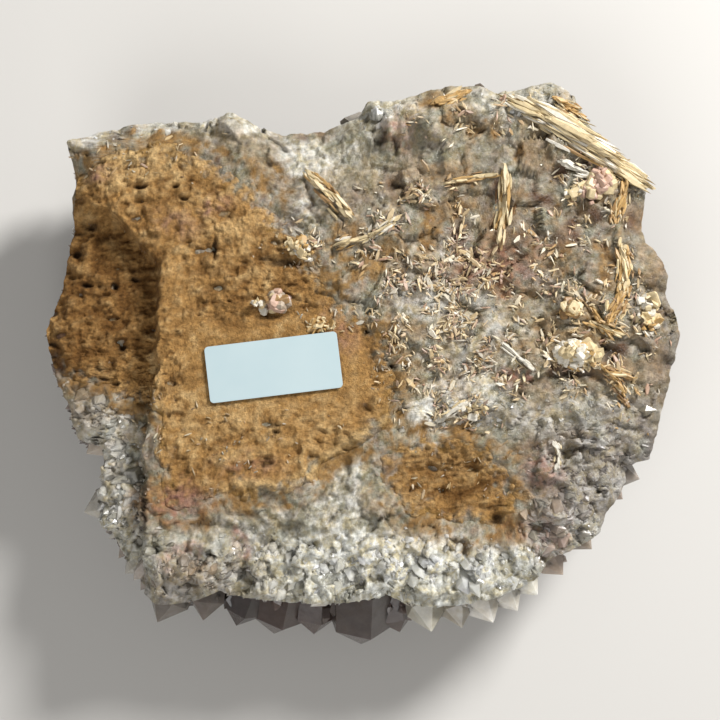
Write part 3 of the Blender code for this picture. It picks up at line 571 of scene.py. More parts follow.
# The ochre crust. Earthy limonite that filled the joint between the quartz and the rock: one
# large sheet over the left hollow and the middle, and a patch at the near right. It is soft,
# streaked along its layers and full of small pits.
CRUST_OCHRE = "#A37C48"
CRUST_BUFF = "#C9A976"
CRUST_BROWN = "#6C4A22"
# Painted shade for the crust's pits.
CRUST_PIT_SHADE = "#3A2814"
CRUST_PINK = "#90685A"
BUFF_SPOTS = [
    (-50, 45, 18, 7, 8, 0.7), (-30, 30, 16, 14, 0, 0.35), (-30, -14, 16, 10, 0, 0.4),
    (-8, -14, 9, 7, 0, 0.35), (-45.6, -12, 1.6, 14, 0, 0.7), (-10, -26, 14, 3, 25, 0.6),
    (20, -24, 14, 8, 0, 0.3), (-28, 47, 8, 4, 0, 0.5),
]
BROWN_SPOTS = [
    (-60, 14, 15, 20, 0, 0.85), (-66, 2, 8, 8, 0, 0.8), (-49, 18, 4, 14, 0, 0.8),
    (-40, 38, 9, 4, 20, 0.4), (22, -28, 16, 11, 0, 0.6), (-34, -26, 8, 4, 0, 0.4),
    (-24, 18, 18, 12, 0, 0.45),
]
CRUST_PINK_SPOTS = [
    (-59.7, 42.8, 3.4, 2.2, 0, 0.7), (-41, -33, 9, 5, 0, 0.9), (-32, 35, 4, 2.4, 20, 0.6),
    (-41, 31, 5, 3, -20, 0.5), (-4, 6, 5, 5, 0, 0.5), (-24, -24, 8, 3, 0, 0.4),
]

# The raised near lip of the crust, and what all its parts have in common.
LIP = [(-27.1, -27.8), (-15.7, -28.9), (-7.8, -22), (5.9, -13.9), (9.3, -10.4)]
CRUST_REACH = 0.972
CRUST_EDGE_DIP = 1.9
CRUST_SKIRT = 2.5
SKIRT_DRAWN_IN = 0.93
PIT_SIZES = [0.4, 0.4, 0.5, 0.6, 0.8, 1.1]


def crust_mesh(name, outline, centre, cells, pit_count, seed):
    """A sheet of crust that follows the broken face and dips under the quartz at its border."""
    seeded = random.Random(seed)
    bm, share, angle = disc_sheet(cells)
    way = reach(outline, angle, centre) + 2.0
    x = centre[0] + share * way * np.cos(angle)
    y = centre[1] + share * way * np.sin(angle)
    edge = CRUST_REACH * reach(RIM, np.arctan2(y, x)) / np.maximum(np.hypot(x, y), 1.0)
    x, y = x * np.minimum(1.0, edge), y * np.minimum(1.0, edge)
    flat = smooth_step(-inner_distance(x, y, LABEL_ROOM), 0.0, 2.0)
    streaks = speckle(x * 0.6 - y * 0.05, y - 0.14 * x, 4.0, 3, 7.0, 0.5)
    rough = speckle(x, y, 2.4, 2, 8.0, 0.4)
    clods, _ = facets(x + rough, y + streaks, 2.6, 0.9, 6.0)
    pits = list(PITS)
    for _ in range(pit_count):
        place = seeded.uniform(0.0, 2.0 * math.pi)
        out = math.sqrt(seeded.uniform(0.0, 1.0)) * float(reach(outline, place, centre))
        size = seeded.choice(PIT_SIZES)
        pits.append((centre[0] + out * math.cos(place), centre[1] + out * math.sin(place),
                     size * seeded.uniform(1.0, 2.4), size * seeded.uniform(0.5, 0.9),
                     size * seeded.uniform(0.4, 1.4)))
    depth = pitted(x + 0.5 * rough, y + 0.4 * streaks, pits) * (0.2 + 0.8 * flat)
    hollow = smooth_step(-x, 42.0, 50.0)
    coarse = speckle(0.7 * x - y * 0.05, y - 0.14 * x, 2.6, 4, 18.0, 0.5)
    z = broken_face(x, y) + flat * (0.4 * streaks + 0.35 * rough + 0.16 * clods) - 0.1 - depth
    z += flat * (0.35 + 0.45 * hollow) * coarse
    z += np.exp(-(path_distance(x, y, LIP) / 1.5) ** 2)
    cover = crust_cover(x, y)
    z -= CRUST_EDGE_DIP * (1.0 - smooth_step(cover, 0.0, 2.4))
    move_verts(bm, x, y, z)
    close_below(bm, CRUST_SKIRT, centre, SKIRT_DRAWN_IN)
    tree = BVHTree.FromBMesh(bm)
    mesh = finished(bm, name)
    mesh.shade_smooth()
    tints = np.tile(linear(CRUST_OCHRE), (len(x), 1))
    aside = (x + 2.0 * rough, y + 2.0 * streaks)
    tints = mixed(tints, CRUST_BUFF, 0.9 * patches(*aside, BUFF_SPOTS) + 0.3 * streaks + 0.5 * rough)
    tints = mixed(tints, CRUST_BROWN, patches(*aside, BROWN_SPOTS) - 0.5 * streaks - 0.5 * coarse)
    tints = mixed(tints, CRUST_PINK, patches(*aside, CRUST_PINK_SPOTS) * (0.8 + rough))
    tints = mixed(tints, CRUST_BUFF, 0.8 * np.exp(-(path_distance(x, y, LIP) / 1.3) ** 2))
    edging = 0.9 - 0.9 * smooth_step(cover + 3.0 * rough + 2.0 * coarse, 0.5, 5.0)
    tints += (quartz_tints(x, y, np.zeros(len(x))) - tints) * edging[:, None]
    # Painted shade in the pits, darker where they are deeper.
    tints = mixed(tints, CRUST_PIT_SHADE, 0.85 * smooth_step(depth, 0.3, 1.5))
    tints = np.vstack([tints, np.tile(linear(CRUST_BROWN), (len(mesh.vertices) - len(x), 1))])
    add_tint(mesh, tints)
    return mesh, tree


# Limonite: matt and earthy, with grains of less than a millimetre.
limonite = tinted_material(
    "limonite", {"Roughness": 0.92, "Specular IOR Level": 0.25},
    grain=0.8, contrast=0.42, bump=(0.55, 0.8),
)
crust, crust_tree = crust_mesh(
    "ochre_crust", CRUST_OUTLINE, (-38.0, 8.0), cells=290, pit_count=260, seed=3)
add_piece("ochre_crust", crust, limonite, ["limonite_crust"])
patch, patch_tree = crust_mesh(
    "ochre_patch", PATCH_OUTLINE, (20.0, -27.0), cells=120, pit_count=50, seed=4)
add_piece("ochre_patch", patch, limonite, ["limonite_patch"])

# Sugary quartz. Small glassy crystals that stand between the lumps of the broken face, finest on
# the plateau and coarser towards the near rim, where they were still growing when it broke.
TIP_NORMAL_ANGLE = math.radians(51.79)
TIP_HEIGHT = math.tan(TIP_NORMAL_ANGLE) * math.cos(math.radians(30.0))
SMALL_PRISM = 1.6
LEANS = [(0.0, 0.0), (0.3, 0.1), (-0.2, 0.3), (0.1, -0.35), (0.45, 0.0)]
SUGAR_TRIES = 26000
ANY_TURN = 6.3
SUGAR_SPOTS = [
    (0, -48, 46, 7.5, 0, 0.6), (-30, -47, 22, 7, 0, 0.5), (50, -22, 13, 13, 0, 0.5),
    (26, -12, 13, 6, 20, 0.25), (42, 60, 12, 4, 0, 0.4), (-58, -24, 10, 22, 0, 0.7),
    (-56, 54, 14, 2.4, 5, 0.4), (5, 58, 8, 4, 0, 0.4), (48, -40, 11, 8, -30, 0.9),
]
COARSE_SPOTS = [
    (0, -53, 48, 6, 0, 1), (46, -42, 16, 8, -35, 0.9), (-60, -24, 10, 26, 0, 0.8),
    (64, -20, 9, 12, 0, 0.8), (70, 8, 5, 24, 0, 0.5),
]


def triangles(bm):
    """A template's points and triangles as arrays."""
    bmesh.ops.recalc_face_normals(bm, faces=bm.faces)
    bmesh.ops.triangulate(bm, faces=bm.faces)
    bm.verts.index_update()
    points = np.array([vert.co[:] for vert in bm.verts])
    faces = np.array([[vert.index for vert in face.verts] for face in bm.faces])
    bm.free()
    return points, faces


def cone(sides, low_radius, high_radius, depth=1.0):
    """A closed cone or prism that stands upright round the origin."""
    bm = bmesh.new()
    bmesh.ops.create_cone(
        bm, cap_ends=True, segments=sides, radius1=low_radius, radius2=high_radius, depth=depth)
    return bm


def true_prism(prism):
    """A six sided crystal of radius one with its shoulder at zero: its mesh, shoulder and point."""
    bm = cone(6, 1.0, 1.0, prism)
    bmesh.ops.translate(bm, vec=(0.0, 0.0, -prism / 2.0), verts=bm.verts)
    shoulder = [vert for vert in bm.verts if vert.co.z > -prism / 2.0]
    cap = next(face for face in shoulder[0].link_faces
               if all(vert in shoulder for vert in face.verts))
    point = bmesh.ops.poke(bm, faces=[cap])["verts"][0]
    point.co.z = TIP_HEIGHT
    return bm, shoulder, point


def leaning_prism(lean_x, lean_y):
    """A small crystal whose point leans and whose shoulder is uneven."""
    bm, shoulder, point = true_prism(SMALL_PRISM)
    point.co = (lean_x, lean_y, TIP_HEIGHT)
    for index, vert in enumerate(shoulder):
        vert.co.z += 0.22 * math.sin(2.4 * index + 5.0 * lean_x)
    return bm


def ground(x, y):
    """The highest point of plate and crust at a place, and the way that it faces."""
    best, facing = None, Vector((0.0, 0.0, 1.0))
    for tree in (plate_tree, crust_tree, patch_tree):
        hit, normal, _, _ = tree.ray_cast(Vector((x, y, 40.0)), Vector((0.0, 0.0, -1.0)))
        if hit is not None and (best is None or hit.z > best.z):
            best, facing = hit, normal
    return best, facing


def stand(point, axis, turn, size):
    """Place that stands a template on a point with its z along the axis."""
    turned = Vector(axis).to_track_quat("Z", "Y").to_matrix().to_4x4()
    return (Matrix.Translation(point) @ turned @ Matrix.Rotation(turn, 4, "Z")
            @ Matrix.Diagonal((*size, 1.0)))


def copies_mesh(name, templates, copies, towards_tip=0.0):
    """One mesh of many placed copies: template number, place and tint, which can pale upwards."""
    points, faces, tints, start = [], [], [], 0
    for kind, place, tint in copies:
        shape, sides = templates[kind]
        moved = np.array(place)
        points.append(shape @ moved[:3, :3].T + moved[:3, 3])
        faces.append(sides + start)
        paler = 1.0 + towards_tip * (shape[:, 2] - shape[:, 2].mean()) / np.ptp(shape[:, 2])
        colours = np.outer(paler, tint[:3]).clip(0.0, 0.95)
        tints.append(np.column_stack([colours, np.full(len(shape), tint[3])]))
        start += len(shape)
    mesh = bpy.data.meshes.new(name)
    mesh.from_pydata(np.vstack(points).tolist(), [], np.vstack(faces).tolist())
    add_tint(mesh, np.vstack(tints))
    return mesh


def shaded(tint, amount):
    """A tint made lighter or darker, with its alpha kept."""
    return np.append(np.clip(np.array(tint[:3]) * amount, 0.0, 0.95), tint[3])


def scattered(seeded, tries, low_x, high_x, low_y, high_y):
    """Random places on the plate, as a list and as arrays of x and y, and the quartz tints there."""
    found = [(seeded.uniform(low_x, high_x), seeded.uniform(low_y, high_y)) for _ in range(tries)]
    x, y = np.array(found).T
    return found, x, y, quartz_tints(x, y, np.zeros(tries))


CRYSTAL_KINDS = [triangles(leaning_prism(*lean)) for lean in LEANS]
seeded = random.Random(5)
found, spots_x, spots_y, tints = scattered(seeded, SUGAR_TRIES, -74.0, 74.0, -62.0, 66.0)
chance = patches(spots_x, spots_y, SUGAR_SPOTS)
coarse = patches(spots_x, spots_y, COARSE_SPOTS)
fresh = patches(spots_x, spots_y, WHITE_SPOTS)
chance *= smooth_step(-crust_cover(spots_x, spots_y), -1.0, 1.0)
gap = inner_distance(spots_x, spots_y, RIM)
copies = []
for index, (px, py) in enumerate(found):
    if seeded.random() > chance[index] * (1.0 - 0.45 * coarse[index]) or gap[index] < 1.5:
        continue
    point, facing = ground(px, py)
    if point is None:
        continue
    out = Vector((px, py, 0.0)).normalized() * (1.0 if gap[index] < 12.0 else 0.15)
    axis = Vector((seeded.gauss(0, 0.42), seeded.gauss(0, 0.42), 1.0)) + out + facing * 0.4
    radius = seeded.uniform(0.5, 1.15) * (1.0 + 2.4 * coarse[index] * seeded.random() ** 2)
    size = (radius * seeded.uniform(0.7, 1.2), radius * seeded.uniform(0.7, 1.2), radius)
    axis.normalize()
    tint = mixed(tints[index:index + 1], WHITE_QUARTZ, np.array([0.12 + 0.45 * fresh[index]]))[0]
    kind = seeded.randrange(len(LEANS))
    place = stand(point - axis * radius * 0.75, axis, seeded.uniform(0.0, ANY_TURN), size)
    copies.append((kind, place, shaded(tint, seeded.uniform(0.86, 1.16))))

# Small clear crystals: the same quartz, see-through and with sharp glassy faces.
clear_quartz = tinted_material(
    "clear_quartz",
    {**QUARTZ_OPTICS, "Roughness": 0.18, "Transmission Weight": 0.25, "Subsurface Weight": 0.8,
     "Subsurface Scale": 2.5 * MM},
    grain=3.0, contrast=0.2, bump=(0.8, 0.05), stain=(4.0, 0.35, "#DCCBA4"), earthy=0.5,
)
sugar = copies_mesh("quartz_sugar", CRYSTAL_KINDS, copies, 0.5)
add_piece("quartz_sugar", sugar, clear_quartz, ["quartz_plate"])

# The large crystals. Six sided prisms with six faced points that line the crystal side, stick out
# past the rim and carry the specimen. Each has smaller ones grown against its foot.

# The four that it rests on: x, y, heading and radius. One face of each point lies level.
REST_CRYSTALS = [
    (37, 28, 66, 8.2), (-38, 29, 172, 7.8), (-34, -33, 206, 8.4), (34, -30, 350, 7.8),
]

# The ones that show past the rim: the tip's x, y and z, radius, heading and dip of the axis.
RIM_CRYSTALS = [
    (-63, -34, -11, 4, 200, -10), (-62.6, -20.6, -11, 3.3, 215, -10),
    (64.3, -26.4, -10.5, 3.8, -20, -5), (60.4, -31, -11, 3.6, -40, -10),
    (-46, -59, -12.5, 5.2, 245, 4), (-35.6, -58.6, -13, 4.2, 262, 6),
    (-53.5, -48, -12, 3.8, 225, 0), (16.4, -61, -8.5, 4.8, -80, -28),
    (30.4, -59, -8.5, 4.4, -65, -28), (40.6, -52.8, -9.5, 4.2, -50, -22),
    (53, -42.4, -9.5, 3.8, -45, -20), (23.4, -60.2, -10, 4, -76, -16),
    (36, -56.4, -9.5, 3.6, -58, -20), (46.4, -48.2, -9.5, 3.4, -50, -24),
    (9.5, -61.5, -22, 5.2, -76, 30), (0.5, -64.4, -27, 8.4, -92, 42),
    (-10.5, -62, -23, 5.6, -94, 32), (-20, -62, -27, 7.6, -104, 40),
    (-28.5, -60, -21, 4.8, -112, 28), (44.5, -45.5, -24, 5.4, -48, 40),
    (28, -54.5, -25, 6.8, -62, 42), (-42, -55.5, -25, 6.6, 240, 42),
]

# Spacing of the hidden crystals, and their least and greatest radius.
DRUSE_SIZES = [(15, 6.4, 8.4), (9, 3.4, 4.6)]

# The crested groups that they leave room for: x, y, lowest z, heading and radius.
CRESTS = [
    ("barite_crest_far", 4, 34, -33, 25, 9.5), ("barite_crest_left", -44, -2, -32.5, 70, 9),
    ("barite_crest_near", 6, -39, -33.5, -14, 9.5),
]
CREST_CLEARANCE = 2.0
CROWDING = 0.62
REST_LENGTH = 27.0
ROOT_DEPTH = 3.0
UNEVEN = 0.17
PLATE_RADIUS = 74.0
WALL_SPACING = 7.0
WALL_LENGTH = 8.0
WALL_ROOM = 4.0


def heading_vector(heading, dip):
    """Unit vector along a heading, counted from x towards y, and dipping below the face."""
    heading, dip = math.radians(heading), math.radians(dip)
    return Vector((math.cos(heading) * math.cos(dip), math.sin(heading) * math.cos(dip),
                   -math.sin(dip)))


def meets_crest(tip, root, radius):
    """Whether a crystal would stand in one of the crested groups."""
    for _, x, y, _, _, crest_radius in CRESTS:
        for share in (0.0, 0.5, 1.0):
            point = tip.lerp(root, share)
            if math.hypot(point.x - x, point.y - y) < crest_radius + radius + CREST_CLEARANCE:
                return True
    return False


def crowded(tip, radius, crystals):
    """Whether a tip comes too near a crystal that stands already."""
    for other, axis, _, other_radius, length in crystals:
        for share in (0.0, 0.5, 1.0):
            point = other - axis * share * (length + other_radius)
            if math.hypot(tip.x - point.x, tip.y - point.y) < CROWDING * (other_radius + radius):
                return True
    return False


def druse_crystals():
    """Tips, axes and sizes of the large crystals on the underside and along the rim."""
    seeded = random.Random(22)
    down = Vector((0.0, 0.0, -1.0))
    crystals = []
    for x, y, lean, radius in REST_CRYSTALS:
        out = heading_vector(lean, 0.0)
        axis = down * math.cos(TIP_NORMAL_ANGLE) + out * math.sin(TIP_NORMAL_ANGLE)
        side = down * math.sin(TIP_NORMAL_ANGLE) - out * math.cos(TIP_NORMAL_ANGLE)
        slant = radius * math.cos(math.radians(30.0)) / math.cos(TIP_NORMAL_ANGLE)
        slope = (axis - down * axis.dot(down)).normalized()
        tip = Vector((x, y, -REST_DEPTH)) + slope * slant * 2.0 / 3.0
        crystals.append((tip, axis, side, radius, REST_LENGTH))
    for spacing, small, large in DRUSE_SIZES:
        for row in range(-9, 10):
            for column in range(-9, 10):
                x = (column + 0.5 * (row % 2)) * spacing + seeded.uniform(-UNEVEN, UNEVEN) * spacing
                y = row * spacing * 0.87 + seeded.uniform(-UNEVEN, UNEVEN) * spacing
                radius = seeded.uniform(small, large)
                out = math.degrees(math.atan2(y, x)) + seeded.uniform(-40.0, 40.0)
                dip = 80.0 - 34.0 * math.hypot(x, y) / PLATE_RADIUS - seeded.uniform(0.0, 10.0)
                depth = -PLATE_DEPTH - radius * seeded.uniform(1.2, 1.75)
                if inner_distance(x, y, RIM) < radius:
                    continue
                axis = heading_vector(out, dip)
                tip = Vector((x, y, max(depth, 1.2 - REST_DEPTH)))
                whole = (-tip.z - PLATE_DEPTH + ROOT_DEPTH) / -axis.z
                length = max(2.0, whole - radius * TIP_HEIGHT)
                root = tip - axis * (length + radius)
                if meets_crest(tip, root, radius) or crowded(tip, radius, crystals):
                    continue
                side = heading_vector(out + 90.0 + seeded.uniform(-40.0, 40.0), 0.0)
                crystals.append((tip, axis, side, radius, length))
    for x, y, z, radius, heading, dip in RIM_CRYSTALS:
        axis = heading_vector(heading, dip)
        side = heading_vector(heading + 90.0, 20.0)
        crystals.append((Vector((x, y, z)), axis, side, radius, 4.0 + radius))
    return crystals


def side_wall_crystals():
    """Short crystals all round the outer wall."""
    seeded = random.Random(7)
    crystals = []
    for (ax, ay), (bx, by) in zip(RIM, RIM[1:] + RIM[:1]):
        if math.hypot(bx - ax, by - ay) < 5.0:
            continue
        x, y = (ax + bx) / 2.0, (ay + by) / 2.0
        if any(math.hypot(x - shown[0], y - shown[1]) < WALL_SPACING for shown in RIM_CRYSTALS):
            continue
        outward = math.degrees(math.atan2(bx - ax, ay - by)) + seeded.uniform(-20.0, 20.0)
        dip = seeded.uniform(20.0, 45.0)
        axis = heading_vector(outward, dip)
        height = min(-14.0, float(relief(x, y)) - 9.0) - seeded.uniform(0.0, 5.0)
        tip = Vector((x * 0.985, y * 0.985, height))
        side = heading_vector(outward + 90.0, 10.0)
        radius = seeded.uniform(4.0, 5.4)
        root = tip - axis * (WALL_LENGTH + radius * TIP_HEIGHT)
        middle = tip.lerp(root, 0.5)
        lowest = min(float(relief(root.x, root.y)), float(relief(middle.x, middle.y)))
        tip.z -= max(0.0, root.z + radius - lowest + WALL_ROOM)
        crystals.append((tip, axis, side, radius, WALL_LENGTH))
    return crystals


def crystal_place(tip, axis, side, radius, stretch=1.0):
    """Place that puts a pointed prism's point at the tip, with one side facing along side."""
    axis = axis.normalized()
    side = (side - axis * side.dot(axis)).normalized()
    turned = Matrix((side, axis.cross(side), axis)).transposed().to_4x4()
    size = Matrix.Diagonal((radius, radius, radius * stretch, 1.0))
    return Matrix.Translation(tip) @ turned @ size @ Matrix.Translation((0.0, 0.0, -TIP_HEIGHT))


def rim_height(x, y):
    """Height of the upper face at the rim, in the direction of a point."""
    way = 0.96 * float(reach(RIM, math.atan2(y, x)))
    heading = math.atan2(y, x)
    return float(relief(way * math.cos(heading), way * math.sin(heading)))


CRYSTAL_SHADES = ["#DAD5CC", "#C9BBB1", "#E4E1DA", "#B9AA9F", "#CFC6BA"]
# Painted shade for the crystals lower down the wall and underneath.
PAINTED_DEPTH_SHADE = "#3E2E2A"


def crystal_tint(tip, hex_colour):
    """Stained like the face above it near the top, with painted shade that makes it browner and
    darker further down.
    """
    share = float(smooth_step(-tip.z, 9.0, 18.0))
    stained = quartz_tints(np.array([tip.x * 0.94]), np.array([tip.y * 0.94]), np.zeros(1))
    tint = mixed(stained, hex_colour, np.array([0.3 + 0.7 * share]))
    return mixed(tint, PAINTED_DEPTH_SHADE, np.array([0.92 * share]))[0]


def buried(root, radius, depth):
    """Whether a crystal's root lies that deep under the upper face."""
    return root.z + radius <= float(relief(root.x, root.y)) - depth


# The crystals of the outer wall are sunk and made smaller. Roots are counted in radii. Between the
# two places of NEAR_END small crystals begin to keep further below the upper face. The lobes in
# the near left corner get the darkest painted shadow.
WALL_SINK = 2.0
WALL_SHRINK = 0.8
SATELLITES = 14
SATELLITE_ROOT = 2.7
FILL_TRIES = 3200
FILL_ROOT = 4.6
FILL_STRETCH = 1.7
NEAR_END = (-38.0, -24.0)
PAINTED_SHADOW_CORNER = (-25.0, -50.0)
PAINTED_SHADOW_SCALE = 0.6
seeded = random.Random(9)
large_kinds, copies = list(CRYSTAL_KINDS), []
wall_crystals = [
    (tip - Vector((0.0, 0.0, WALL_SINK)), axis, side, WALL_SHRINK * radius, length)
    for tip, axis, side, radius, length in side_wall_crystals()
]
for tip, axis, side, radius, length in druse_crystals() + wall_crystals:
    large_kinds.append(triangles(true_prism(length / radius)[0]))
    shade = crystal_tint(tip, seeded.choice(CRYSTAL_SHADES))
    # Painted shadow on the lobes under the near left corner.
    if tip.x < PAINTED_SHADOW_CORNER[0] and tip.y < PAINTED_SHADOW_CORNER[1]:
        shade = shaded(shade, PAINTED_SHADOW_SCALE)
    copies.append((len(large_kinds) - 1, crystal_place(tip, axis, side, radius), shade))
    for _ in range(SATELLITES):
        across = axis.cross(Vector((seeded.gauss(0, 1), seeded.gauss(0, 1), seeded.gauss(0, 1))))
        across.normalize()
        small = radius * seeded.uniform(0.14, 0.42)
        new_tip = tip + across * radius * seeded.uniform(0.6, 1.0)
        new_tip = new_tip - axis * radius * seeded.uniform(0.7, 2.0)
        new_axis = (axis + across * seeded.uniform(0.1, 0.7)).normalized()
        room = float(inner_distance(new_tip.x, new_tip.y, RIM))
        if new_tip.z < small * 0.6 - REST_DEPTH or room < -4.0:
            continue
        free = 4.0 * float(smooth_step(new_tip.y, *NEAR_END))
        if new_tip.z + small + free > rim_height(new_tip.x, new_tip.y) + 2.0:
            continue
        if not buried(new_tip - new_axis * SATELLITE_ROOT * small, small, 0.3):
            continue
        copies.append((seeded.randrange(len(LEANS)), crystal_place(new_tip, new_axis, across, small),
                       shaded(shade, seeded.uniform(0.85, 1.2))))

# Smaller crystals that fill the rest of the crystal side and the outer wall.
for _ in range(FILL_TRIES):
    heading = seeded.uniform(0.0, 2.0 * math.pi)
    way = float(reach(RIM, heading))
    out = Vector((math.cos(heading), math.sin(heading), 0.0))
    small = seeded.uniform(1.2, 2.9)
    if seeded.random() < 0.6:
        free = 2.6 * float(smooth_step(way * out.y, *NEAR_END))
        depth = seeded.uniform(-20.5, rim_height(out.x, out.y) - 0.8 * small - free)
        tip = out * way * seeded.uniform(0.95, 0.995) + Vector((0.0, 0.0, depth))
        axis = out * seeded.uniform(0.6, 1.2) + Vector((0.0, 0.0, seeded.uniform(-0.9, 0.1)))
    else:
        tip = out * way * 0.92 * math.sqrt(seeded.random())
        tip.z = -PLATE_DEPTH - small * seeded.uniform(0.8, 1.8)
        axis = out * seeded.uniform(0.0, 0.6) + Vector((0.0, 0.0, -1.0))
    if meets_crest(tip, tip, -1.0):
        continue
    axis += Vector((seeded.gauss(0, 0.25), seeded.gauss(0, 0.25), seeded.gauss(0, 0.15)))
    if not buried(tip - axis.normalized() * FILL_ROOT * small, small, 1.5):
        continue
    shade = crystal_tint(tip, seeded.choice(CRYSTAL_SHADES))
    kind = seeded.randrange(len(LEANS))
    copies.append((kind, crystal_place(tip, axis, axis.orthogonal(), small, FILL_STRETCH),
                   shaded(shade, seeded.uniform(0.8, 1.2))))
druse = copies_mesh("druse_crystals", large_kinds, copies, 0.5)
add_piece("druse_crystals", druse, clear_quartz, ["quartz_plate"])

# Barite blades and strands. Thin cream to golden tablets that grew before the quartz closed over
# them, now broken across, so each shows as a laminated strip or a splintery sheaf.
CREAM = "#CDB98F"
GOLD = "#B59158"
TAN = "#98764A"
WHITE = "#D6CFBF"
PINKISH = "#BA9A86"
GREYISH = "#A3937F"
BROWNISH = "#7C5C38"


def lath(sides, taper):
    """A thin tablet of unit length, width and thickness, lying flat."""
    return triangles(cone(sides, 0.5, 0.5 * taper))


def block(cut):
    """A chunky grain with its edges knocked off."""
    bm = bmesh.new()
    bmesh.ops.create_cube(bm, size=1.0)
    bmesh.ops.bevel(bm, geom=bm.edges[:], offset=cut, segments=1, profile=0.5,
                    affect="EDGES", material=-1)
    return triangles(bm)


def shard(corners, ragged, curl):
    """A flat flake of unit size with a ragged outline, curled along its length."""
    bm = cone(corners, 0.5, 0.44)
    for vert in bm.verts:
        corner = round(math.atan2(vert.co.y, vert.co.x) * corners / (2.0 * math.pi))
        drawn = 1.0 - 0.5 * abs(math.sin(2.3 * corner + ragged))
        vert.co = (vert.co.x * drawn, vert.co.y * drawn, vert.co.z + curl * 4.0 * vert.co.x ** 2)
    return triangles(bm)


# Laths are kinds 0 to 2, blocks 3 and 4, and shards the rest.
TABLETS = [lath(6, 0.8), lath(4, 0.85), lath(5, 0.7), block(0.14), block(0.24)]
TABLETS += [shard(*shape) for shape in [
    (4, 0.9, 0.8), (5, 0.3, 1.0), (4, 2.2, -0.6), (6, 1.1, -0.8), (3, 0.5, 0.5), (5, 0.7, 0.6),
    (7, 2.0, 1.2), (4, 1.6, 0.0)]]
SHEAF_KINDS = [0, 1, 2, 0, 1, 2, 10]


def lay(point, heading, lift, roll, size):
    """Place that lays a template along a heading, with one end lifted and rolled to one side."""
    return (Matrix.Translation(point) @ Matrix.Rotation(heading, 4, "Z")
            @ Matrix.Rotation(-lift, 4, "Y") @ Matrix.Rotation(roll, 4, "X")
            @ Matrix.Diagonal((*size, 1.0)))


def along_path(path, share):
    """A point a share of the way along a path, and the heading there."""
    lengths = [math.dist(a, b) for a, b in zip(path, path[1:])]
    way = share * sum(lengths)
    for (ax, ay), (bx, by), length in zip(path, path[1:], lengths):
        if way <= length:
            break
        way -= length
    part = min(way / length, 1.0)
    return ax + (bx - ax) * part, ay + (by - ay) * part, math.atan2(by - ay, bx - ax)


def sheaf(seeded, path, count, spread, rise, length, width, stray, palette):
    """Laths packed side by side along a path, heaped up and palest towards its middle line."""
    copies = []
    for _ in range(count):
        share = seeded.uniform(0.02, 0.98)
        x, y, heading = along_path(path, share)
        aside = seeded.gauss(0.0, 0.36) * spread * (0.35 + 0.65 * math.sin(math.pi * share))
        x, y = x - aside * math.sin(heading), y + aside * math.cos(heading)
        point, _ = ground(x, y)
        if point is None:
            continue
        heap = rise * max(0.1, 1.0 - abs(aside) / spread) * seeded.uniform(0.15, 1.0)
        size = (length * seeded.uniform(0.5, 1.2) * 2.0 / (1.0 + abs(2.0 * share - 1.0)) / 1.6,
                width * seeded.uniform(0.5, 1.7), seeded.uniform(0.22, 0.5))
        kind = seeded.choice(SHEAF_KINDS)
        place = lay(point + Vector((0.0, 0.0, heap)), heading + seeded.gauss(0.0, stray),
                    seeded.gauss(0.04, stray * 0.4), seeded.gauss(0.0, 0.3), size)
        layer = int(abs(aside) / spread * seeded.uniform(0.5, 6.0))
        hue = palette[min(len(palette) - 1, layer)]
        copies.append((kind, place, shaded(linear(hue), seeded.uniform(0.8, 1.12))))
    return copies


def heap(seeded, centre, half_x, half_y, turn, rise, count, grain, flat, palette):
    """Tablets and grains piled into a knob. Flat is their thickness for their width."""
    copies = []
    for _ in range(count):
        around, out = seeded.uniform(0.0, 2.0 * math.pi), math.sqrt(seeded.random())
        across, along = half_x * out * math.cos(around), half_y * out * math.sin(around)
        x = centre[0] + across * math.cos(turn) - along * math.sin(turn)
        y = centre[1] + across * math.sin(turn) + along * math.cos(turn)
        point, _ = ground(x, y)
        if point is None:
            continue
        high = rise * (1.0 - out * out) * seeded.uniform(0.3, 1.0)
        wide = grain * seeded.uniform(0.6, 1.3)
        kind = seeded.randrange(3, 5 if flat > 0.5 else len(TABLETS))
        place = lay(point + Vector((0.0, 0.0, high)), seeded.uniform(0.0, ANY_TURN),
                    seeded.gauss(0.0, 0.6), seeded.gauss(0.0, 0.6),
                    (wide * 1.3, wide, wide * flat * seeded.uniform(0.6, 1.4)))
        hue = seeded.choice(palette)
        copies.append((kind, place, shaded(linear(hue), seeded.uniform(0.8, 1.12))))
    return copies


